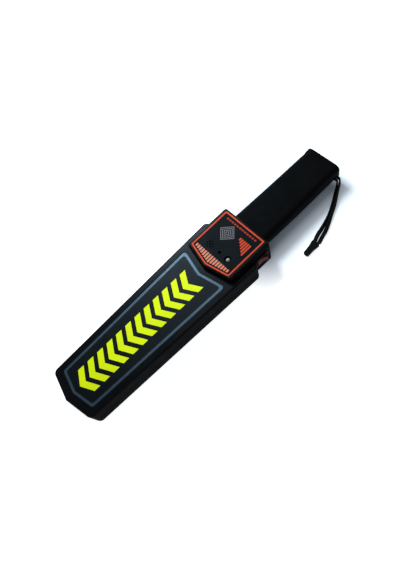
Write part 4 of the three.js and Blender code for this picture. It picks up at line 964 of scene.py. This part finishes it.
LABEL_TIP_X = TIP_X + 9.6
LABEL_POINT = 6.8
LABEL_NOTCH_X = HEAD_FRONT_X - 5.5
LABEL_EAR = 7.8
LABEL_HALF_WIDTHS = (29.2, 35.1)
PADDLE_LABEL = both_sides([
    (LABEL_TIP_X, 0),
    (LABEL_TIP_X + LABEL_POINT, -LABEL_HALF_WIDTHS[0]),
    (LABEL_NOTCH_X + LABEL_EAR, -LABEL_HALF_WIDTHS[1]),
    (LABEL_NOTCH_X, 0),
])
PADDLE_LABEL_RADIUS = 5
CONTROL_HALF = 31.6
CONTROL_LAND = 0.5
CONTROL_MARGIN = HEAD_SLOPE[1] + CONTROL_LAND
CONTROL_FRONT = HEAD_FRONT_X + CONTROL_MARGIN
CONTROL_BACK = HEAD_BACK_X - CONTROL_MARGIN
CONTROL_CORNER = CONTROL_FRONT + HEAD_POINT * CONTROL_HALF / HEAD_HALF_WIDTH
CONTROL_LABEL = both_sides([
    (CONTROL_FRONT, 0),
    (CONTROL_CORNER, -CONTROL_HALF),
    (CONTROL_BACK, -CONTROL_HALF),
])
CONTROL_LABEL_RADIUS = 1.5
PADDLE_RECESS = 0.9
CONTROL_RECESS = 0.6
STEEP = 0.5


def outer_shell(paddle_span, head_span, paddle_edges, head_edges):
    paddle = slab(PADDLE_CORNERS, paddle_span, PADDLE_RADIUS, 0, *paddle_edges)
    head = slab(HEAD_CORNERS, head_span, HEAD_RADIUS, 0, *head_edges)
    return join(paddle, head, grip_outside())


def everything(span):
    """A cutter as long and wide as the whole housing."""
    return box((TIP_X - OVERRUN, END_X + OVERRUN), around(0, PADDLE_HALF_WIDTHS[1] + OVERRUN), span)


def moulded_skins(case, walls=None):
    """The grip has a duller skin. Where walls are named, the walls and the lamp's recess get a darker,
    duller copy of the plastic: painted shade.
    """
    case.data.materials.append(MATERIALS["grip"])
    if walls:
        case.data.materials.append(MATERIALS[walls])
    lamp_axis = Vector(upright("lamp_lens"))
    recess = LAMP_RECESS[0] + HOLE_EDGE
    for face in case.data.polygons:
        centre = face.center / MM
        sunk = HEAD_HEIGHT - OVERRUN < centre.z and (centre.xy - lamp_axis.xy).length < recess
        if centre.x > HEAD_BACK_X:
            face.material_index = 1
        # Walls and the lamp's recess take the darker copy: painted shade
        elif walls and (abs(face.normal.z) < STEEP or sunk):
            face.material_index = 2


SCREW_NODES = [f"housing_screw_{i}" for i in range(1, 7)]
SCREW_HEAD = (2.9, 2.2, 0.9)
SCREW_POSTS = (4.2, 5.2)
SCREW_BORE = 1.7
SCREW_HEAD_BORE = 3.2
PILOT_STOP = 2
CASE_SHARP = 32


def in_grip(node):
    return middle(node).x > HEAD_BACK_X


def front_case():
    low = SEAM + GAP / 2
    edges = (SHARP, PADDLE_TOP_EDGE), (SHARP, HEAD_SLOPE)
    shell = outer_shell((low, PADDLE_HEIGHT), (low, HEAD_HEIGHT), *edges)
    paddle_span = (PADDLE_HEIGHT - PADDLE_RECESS, HEAD_HEIGHT)
    recess = slab(inset(PADDLE_LABEL, -GAP), paddle_span, PADDLE_LABEL_RADIUS)
    control_span = (HEAD_HEIGHT - CONTROL_RECESS, HEAD_HEIGHT + OVERRUN)
    control = slab(inset(CONTROL_LABEL, -GAP), control_span, CONTROL_LABEL_RADIUS)
    below = everything((-OVERRUN, low))
    cut(shell, housing_inside(), recess, control, *side_openings(), *end_opening(), *seam_groove(), below)
    cut(shell, *face_holes(HEAD_HEIGHT - CONTROL_RECESS))
    posts = []
    for node in SCREW_NODES:
        ceiling = (GRIP_TOP - GRIP_WALL if in_grip(node) else PADDLE_HEIGHT - WALL) + OVERLAP
        post = cut(rod(SCREW_POSTS[0], (low, ceiling)), rod(SCREW_BORE, (0, ceiling - PILOT_STOP)))
        posts.append(moved(post, upright(node)))
    join(shell, *posts)
    moulded_skins(piece(shell, "front_case", "housing", "front_shell", sharp=CASE_SHARP), "side")


EYE_BLOCK = 10
EYE_SLOT = (3.2, 2.8)
EYE_PIN_HOLE = 1.2


def back_case():
    high = SEAM - GAP / 2
    edges = ((BOTTOM_EDGE, BOTTOM_EDGE), SHARP), ((BOTTOM_EDGE, HEAD_BOTTOM_INSET), SHARP)
    shell = outer_shell((0, high), (0, high), *edges)
    cut(shell, housing_inside(), everything((high, HEAD_HEIGHT + OVERRUN)))
    posts = []
    openings = []
    for node in SCREW_NODES:
        thin, thick = SCREW_POSTS
        radius, bottom = (thin, GRIP_END[1]) if in_grip(node) else (thick, 0)
        posts.append(moved(rod(radius, (bottom + OVERLAP, high)), upright(node)))
        seat = low_high(node)[0].z + SCREW_HEAD[1] + GAP
        openings.append(moved(rod(SCREW_HEAD_BORE, (-OVERRUN, seat)), upright(node)))
        openings.append(moved(rod(SCREW_BORE, (seat - OVERLAP, SEAM)), upright(node)))
    pin = middle("strap_pin")
    wide, tall = EYE_SLOT
    along = (END_X - EYE_BLOCK, END_X + OVERLAP)
    block = box(along, (-GRIP_OUTSIDE, pin.y + wide + GAP), (-OVERLAP, high))
    join(shell, *posts, common(grip_outside(), block))
    slot = box(around(pin.x, wide), (-GRIP_OUTSIDE, pin.y + wide), around(INNER_ROUTE[0][2], tall))
    pin_span = (low_high("strap_pin")[0].z - GAP, SEAM)
    pin_hole = moved(rod(EYE_PIN_HOLE, pin_span, THIN_SIDES), upright("strap_pin"))
    cut(shell, *openings, *end_opening(), *seam_groove(), slot, pin_hole)
    moulded_skins(piece(shell, "back_case", "back", "back_shell", sharp=CASE_SHARP))


front_case()
back_case()


# Labels and their printing

PLATE_EDGE = (0.12, 0.12)
PRINT = 0.05
LIFT = 0.01
CONTROL_FACE = HEAD_HEIGHT - 0.08
PADDLE_BORDER = (1.3, 4.2)
PADDLE_BORDER_RADIUS = 3
CONTROL_BORDER = (0.6, 2.4)
CHEVRONS = 12
CHEVRON_HALF_WIDTH = 16
CHEVRON_POINT = 9
CHEVRON_THICKNESS = 8.2
CHEVRON_START = -184
CHEVRON_PITCH = 14.1
RINGS_CENTRE = (52, 9)
RING_HALVES = (3, 5.8, 8.6, 11.4)
RING_LINE = 0.9
RING_CORNER = 0.8
BARS = 6
BAR_SPAN = (54.5, 58)
BAR_GROWTH = 2.4
BAR_FIRST_Y = -8
BAR_PITCH = 3
BAR_HALF = 1
DASH_SPAN = (65, 67)
DASH_PLACES = range(-22, 23, 4)
DASH_HALF = 1.4
TICKS = 15
TICK_FIRST_Y = -25.2
TICK_PITCH = 3.6
TICK_MARGIN = 4.2
TICK_BACK = 20.6
TICK_HALF = 1.2


def border(corners, radius, outer, inner, span):
    """A printed line that follows a label's outline."""
    ring = slab(inset(corners, outer), span, radius)
    low, high = span
    return cut(ring, slab(inset(corners, inner), (low - OVERLAP, high + OVERLAP), radius))


def print_span(face):
    return (face + LIFT, face + LIFT + PRINT)


def paddle_label():
    low, high = low_high("paddle_label")
    label = slab(PADDLE_LABEL, (low.z, high.z), PADDLE_LABEL_RADIUS, None, SHARP, PLATE_EDGE)
    piece(label, "paddle_film", "label", "paddle_label")
    span = print_span(high.z)
    line = border(PADDLE_LABEL, PADDLE_BORDER_RADIUS, *PADDLE_BORDER, span)
    piece(line, "paddle_border", "ink_blue")
    marks = []
    for i in range(CHEVRONS):
        x = CHEVRON_START + CHEVRON_PITCH * i
        back = x + CHEVRON_POINT
        marks.append(prism(both_sides([
            (x, 0),
            (back, -CHEVRON_HALF_WIDTH),
            (back + CHEVRON_THICKNESS, -CHEVRON_HALF_WIDTH),
            (x + CHEVRON_THICKNESS, 0),
        ]), span))
    piece(join(*marks), "paddle_print", "ink_lime")


def square_ring(half, span):
    """A square outline that stands on its corner."""
    x, y = RINGS_CENTRE
    corners = [(x - half, y), (x, y - half), (x + half, y), (x, y + half)]
    return border(corners, RING_CORNER, 0, RING_LINE, span)


def control_label():
    low, _ = low_high("control_label")
    label = slab(CONTROL_LABEL, (low.z, CONTROL_FACE), CONTROL_LABEL_RADIUS, None, SHARP, PLATE_EDGE)
    cut(label, *face_holes(CONTROL_FACE))
    piece(label, "control_film", "panel", "control_label")
    span = print_span(CONTROL_FACE)
    line = border(CONTROL_LABEL, CONTROL_LABEL_RADIUS, *CONTROL_BORDER, span)
    piece(line, "control_border", "ink_orange")
    rings = [square_ring(half, span) for half in RING_HALVES]
    piece(join(*rings), "control_rings", "ink_grey")
    front, back = BAR_SPAN
    bars = [
        box((front - BAR_GROWTH * i, back), around(BAR_FIRST_Y - BAR_PITCH * i, BAR_HALF), span)
        for i in range(BARS)
    ]
    piece(join(*bars), "control_bars", "ink_orange")
    dashes = [box(DASH_SPAN, around(y, DASH_HALF), span) for y in DASH_PLACES]
    piece(join(*dashes), "control_dashes", "ink_red")
    ticks = []
    for i in range(TICKS):
        y = TICK_FIRST_Y + TICK_PITCH * i
        front = CONTROL_FRONT + TICK_MARGIN + HEAD_POINT * abs(y) / HEAD_HALF_WIDTH
        ticks.append(box((front, TICK_BACK), around(y, TICK_HALF), span))
    piece(join(*ticks), "control_ticks", "ink_pale")


paddle_label()
control_label()


# Indicator lamp

LAMP_DOME = 2.5
LAMP_DOME_STEPS = 12
LAMP_FLANGE = (2.95, 1)


def lamp():
    low, high = low_high("lamp_lens")
    flange, thickness = LAMP_FLANGE
    step = low.z + thickness
    dome = rim(LAMP_DOME, high.z, LAMP_DOME, LAMP_DOME, LAMP_DOME_STEPS)
    made = turned([(0, low.z), (flange, low.z), (flange, step), (LAMP_DOME, step), *dome])
    piece(moved(made, upright("lamp_lens")), "lamp", "lamp_clear", "lamp_lens")


lamp()


# Power switch


def switch_recess(grow, span):
    long, high = SWITCH_POCKET
    return slab(centred(long + grow, high + grow), span, SWITCH_LEAD_IN + grow)


def power_switch():
    """The frame, made with its face up and then turned to face right."""
    low, high = low_high("switch_frame")
    face, back = -low.y, -high.y
    half = (high - low) / 2
    bezel_span = (face - BEZEL_THICKNESS, face)
    made = join(
        slab(centred(half.x, half.z), bezel_span, BEZEL_RADIUS, None, BEZEL_EDGE, BEZEL_EDGE),
        prism(centred(*SWITCH_BODY), (back, face - GAP)),
    )
    cut(
        made,
        switch_recess(0, (face - SWITCH_POCKET_DEPTH, face + OVERRUN)),
        switch_recess(SWITCH_LEAD_IN, (face - SWITCH_LEAD_IN, face + OVERRUN)),
    )
    moved(made, crosswise("switch_frame"), rotation(90, "X"))
    piece(made, "switch_bezel", "switch_black", "switch_frame")


ROCKER_PIVOT = (59.7, -34.8, 23.75)
ROCKER_TURN = -12
ROCKER_HALF_LENGTH = 6.5
ROCKER_HALF_WIDTH = 3.85
ROCKER_END_REACH = 6
ROCKER_DISH = 3.4
ROCKER_ROOT = 0.5
ROCKER_BELLY = (3.2, 1.6, 4.8)
ROCKER_EDGES = ((0.35, 0), (0.1, 0.1), (0, 0.3))
ROCKER_PIN = (1, 5.05)
ROCKER_STEPS = 16


def rocker():
    """A dished key with eased edges, a belly below and a pin through it."""
    half, root = ROCKER_HALF_LENGTH, ROCKER_ROOT
    reach, rise, drop = ROCKER_BELLY
    steps = [k / ROCKER_STEPS for k in range(ROCKER_STEPS + 1)]
    points = [(-half + 2 * half * t, -ROCKER_END_REACH + ROCKER_DISH * 2 * t * (1 - t)) for t in steps]
    points.append((half, -root))
    for t in steps:
        points.append((reach * (1 - 2 * t), rise * ((1 - t) ** 2 + t * t) + drop * 2 * t * (1 - t)))
    points.append((-half, -root))
    levels = [(shrink, ROCKER_HALF_WIDTH - step) for shrink, step in ROCKER_EDGES]
    levels = [(shrink, -z) for shrink, z in levels] + levels[::-1]
    loops = []
    for shrink, z in levels:
        scale = 1 - shrink / half
        loops.append([(x * scale, y + (shrink if y < -root else 0), z) for x, y in points])
    radius, pin_half = ROCKER_PIN
    body = join(loft(loops), rod(radius, around(0, pin_half), THIN_SIDES))
    moved(body, ROCKER_PIVOT, rotation(ROCKER_TURN))
    piece(body, "rocker", "rocker_red", "power_rocker", "power_rocker")


power_switch()
rocker()


# Push button and earphone socket

BUTTON_RADIUS = 4.2
BUTTON_EDGE = (0.5, 0.5, 5)
BUTTON_FLANGE = (5.3, 1.4)
BUTTON_DISH = (3.4, 0.6)
BUTTON_DISH_STEPS = 8


def push_button():
    low, high = low_high("sense_button")
    flange, thickness = BUTTON_FLANGE
    step = low.y + thickness
    dish = []
    for k in range(1, BUTTON_DISH_STEPS + 1):
        share = 1 - k / BUTTON_DISH_STEPS
        dish.append((BUTTON_DISH[0] * share, high.y - BUTTON_DISH[1] * (1 - share**2)))
    eased = rim(BUTTON_RADIUS, high.y, *BUTTON_EDGE)
    made = turned([(0, low.y), (flange, low.y), (flange, step), (BUTTON_RADIUS, step), *eased, *dish])
    moved(made, crosswise("sense_button"), ALONG_Y)
    piece(made, "push_button", "button_grey", "sense_button", "sense_button")


JACK_HALF = 3
JACK_BUSH = (2.9, 0.25)
JACK_BORE = (1.8, 12, 0.4)


def earphone_socket():
    """A block behind the wall with a bush through it, bored for the plug."""
    low, high = low_high("phone_jack")
    place = middle("phone_jack")
    wall = HEAD_HALF_WIDTH - WALL - GAP
    face = high.y
    body = box(around(place.x, JACK_HALF), (low.y, wall), around(place.z, JACK_HALF))
    radius, edge = JACK_BUSH
    start = wall - OVERLAP
    bush = turned([(0, start), (radius, start), (radius, face - edge), (radius - edge, face), (0, face)])
    bore, depth, lead = JACK_BORE
    funnel = [(bore, face - lead), (bore + lead, face), (bore + lead, face + OVERRUN)]
    drill = turned([(0, face - depth), (bore, face - depth), *funnel, (0, face + OVERRUN)])
    for made in (bush, drill):
        moved(made, crosswise("phone_jack"), ALONG_Y)
    piece(cut(join(body, bush), drill), "earphone_socket", "dark_steel", "phone_jack")


push_button()
earphone_socket()


# Battery door

DOOR_GRIPS = 4
DOOR_GRIP_PITCH = 3
DOOR_GRIP = (0.7, 0.55)
DOOR_GRIP_MARGIN = 3


def battery_door():
    low, high = DOOR_FACE
    across = (DOOR_LOW.y, DOOR_HIGH.y + OVERRUN)
    face = box((DOOR_FLANGE_X - GAP, END_X), across, DOOR_FACE)
    flange = box((DOOR_LOW.x, DOOR_FLANGE_X), across, (DOOR_LOW.z, DOOR_HIGH.z))
    door = common(join(face, flange), grip_outside())
    depth, half = DOOR_GRIP
    up = (low + DOOR_GRIP_MARGIN - GAP, high - DOOR_GRIP_MARGIN + GAP)
    grooves = []
    for i in range(DOOR_GRIPS):
        y = (i - (DOOR_GRIPS - 1) / 2) * DOOR_GRIP_PITCH
        grooves.append(box((END_X - depth, END_X + OVERRUN), around(y, half), up))
    piece(cut(door, *grooves), "door", "housing", "battery_door", "battery_door")


battery_door()


# Screws

SCREW_SIDES = 32
SCREW_CROWN_STEPS = 8
SCREW_SHANK = 1.4
SCREW_THREAD = (0.6, 0.3)
SCREW_TURN = 23
CROSS_TOP = (1.7, 0.4)
CROSS_BOTTOM = (0.8, 0.3)
CROSS_DEPTH = 1.4


def screw_solid(low, high):
    """A pan head with a cross recess over a threaded shank, its head at the bottom."""
    head, height, crown_height = SCREW_HEAD
    crown = [
        (head - shrink, low.z + rise)
        for shrink, rise in edge_profile(crown_height, head, SCREW_CROWN_STEPS)
    ]
    seat, point = low.z + height, high.z - SCREW_SHANK
    pitch, depth = SCREW_THREAD
    root = SCREW_SHANK - depth
    thread = []
    z = seat
    while z + pitch < point:
        thread += [(SCREW_SHANK, z), (SCREW_SHANK, z + pitch / 3)]
        thread += [(root, z + pitch * 0.6), (root, z + pitch * 0.8)]
        z += pitch
    made = turned([*crown, (head, seat), *thread, (SCREW_SHANK, point), (0, high.z)], SCREW_SIDES)
    cross = []
    for turn in (0, 90):
        loops = []
        for size, z in ((CROSS_TOP, low.z - OVERLAP), (CROSS_BOTTOM, low.z + CROSS_DEPTH)):
            loops.append([(x, y, z) for x, y in centred(*size)])
        cross.append(moved(loft(loops), turn=rotation(turn)))
    return cut(made, *cross)


def housing_screws():
    for i, node in enumerate(SCREW_NODES, 1):
        made = moved(screw_solid(*low_high(node)), upright(node), rotation(SCREW_TURN * i))
        piece(made, f"case_screw_{i}", "dark_steel", node)


housing_screws()


# CAD nodes that no piece replaces: each gets its finish, softer edges and smooth round faces

KEPT_SHARP = 50
KEPT_EDGE = 0.00012


def dress_kept_nodes():
    for node, slot in SLOTS.items():
        if node in REPLACED:
            continue
        obj = frame["nodes"][node]
        edges = obj.modifiers.new("edges", "BEVEL")
        edges.width = KEPT_EDGE
        edges.segments = 2
        edges.limit_method = "ANGLE"
        edges.angle_limit = math.radians(KEPT_SHARP)
        shade(obj, slot, KEPT_SHARP)


dress_kept_nodes()


# Floor, light and background

FLOOR_SIZE = 6.0
FLOOR_LEVEL = -0.0002
FLOOR_TONES = ((0.76, 0.85, 0.93, 1), (0.8, 0.89, 0.97, 1))
# Painted shade and painted light on the floor: the glow is dim within a reach of a box round the grip and
# white beyond it
FLOOR_PAINTED_LIGHT = (0.02, 0.9)
PAINTED_SHADE_CENTRE = (0.135, 0, 0)
PAINTED_SHADE_CORE = (0.06, 0.026, 0)
PAINTED_SHADE_REACH = (0.0, 0.046)
# Blue tint of the painted shade beside the grip
PAINTED_SHADE_TINT = (0.78, 0.87, 1, 1)
WHITE = (1, 1, 1, 1)
AMBIENT = ((0.84, 0.92, 1.0, 1), 0.17)
CEILING = 0.07
WALL_TOP = (0.3, 0.6)


def floor():
    """A pale floor whose glow for straight, glossy and clear rays is painted shade and painted light: dim
    and tinted blue beside the grip, and white further off, where it washes out the real shadow.
    """
    finish = Finish("floor", Specular_IOR_Level=0.2)
    tone = finish.mix(finish.noise(3, 2, 0.5), *FLOOR_TONES)
    finish.cover(tone, 0.6, finish.noise(500, 2, 0.5), 0.00002, 0.2)
    away = finish.place()
    steps = (("SUBTRACT", PAINTED_SHADE_CENTRE), ("ABSOLUTE",), ("SUBTRACT", PAINTED_SHADE_CORE), ("MAXIMUM", (0, 0, 0)))
    for operation, *values in steps:
        away = finish.ordered("VectorMath", away, *values, operation=operation)["Vector"]
    reach = finish.ordered("VectorMath", away, operation="LENGTH")["Value"]
    # Painted light: the glow grows with distance from the grip's box, which leaves painted shade beside the
    # grip
    painted_light = finish.span(reach, *PAINTED_SHADE_REACH, *FLOOR_PAINTED_LIGHT)
    camera, glossy, clear = finish.background_rays()
    seen = finish.maths("MAXIMUM", finish.maths("MAXIMUM", camera, glossy), clear)
    finish.fill(
        finish.shader,
        Emission_Color=finish.mix(finish.span(reach, *PAINTED_SHADE_REACH), PAINTED_SHADE_TINT, WHITE),
        Emission_Strength=finish.maths("MULTIPLY", seen, painted_light),
    )
    bm = bmesh.new()
    corners = centred(FLOOR_SIZE, FLOOR_SIZE)
    bm.faces.new([bm.verts.new((x, y, FLOOR_LEVEL)) for x, y in corners])
    obj = solid(bm)
    obj.name = "floor"
    obj.data.materials.append(MATERIALS["floor"])


def area_light(name, place, target, size, power, colour):
    data = bpy.data.lights.new(name, "AREA")
    data.shape = "DISK"
    data.size = size
    data.energy = power
    data.color = colour
    light = add_object(name, data)
    light.location = place
    light.rotation_euler = (Vector(target) - Vector(place)).to_track_quat("-Z", "Y").to_euler()
    light.visible_camera = False


def world():
    """An even cool ambient light. Straight rays see white, gloss sees white walls and a dim ceiling."""
    made = bpy.data.worlds.new("world")
    nodes = Nodes(made)
    camera, glossy, clear = nodes.background_rays()
    place = nodes.node("TexCoord").outputs["Generated"]
    height = nodes.node("SeparateXYZ", Vector=place).outputs["Z"]
    walls = nodes.span(height, *WALL_TOP, 1, CEILING)
    shown, room, white = (
        nodes.node("Background", Color=colour, Strength=strength).outputs["Background"]
        for colour, strength in (AMBIENT, (WHITE, walls), (WHITE, 1))
    )
    for chosen, layer in ((glossy, room), (clear, room), (camera, white)):
        shown = nodes.ordered("MixShader", chosen, shown, layer)["Shader"]
    nodes.node("OutputWorld", Surface=shown)
    bpy.context.scene.world = made


LIGHTS = {
    "key": ((0.13, 0.39, 0.45), (0.03, 0, 0.03), 0.26, 4.5, (0.88, 0.95, 1.0)),
    "fill": ((-0.6, -0.5, 1.1), (0, 0, 0), 0.8, 0.7, (0.92, 0.96, 1.0)),
}

floor()
world()
for light_name, settings in LIGHTS.items():
    area_light(light_name, *settings)
bpy.context.scene.view_settings.view_transform = "Standard"
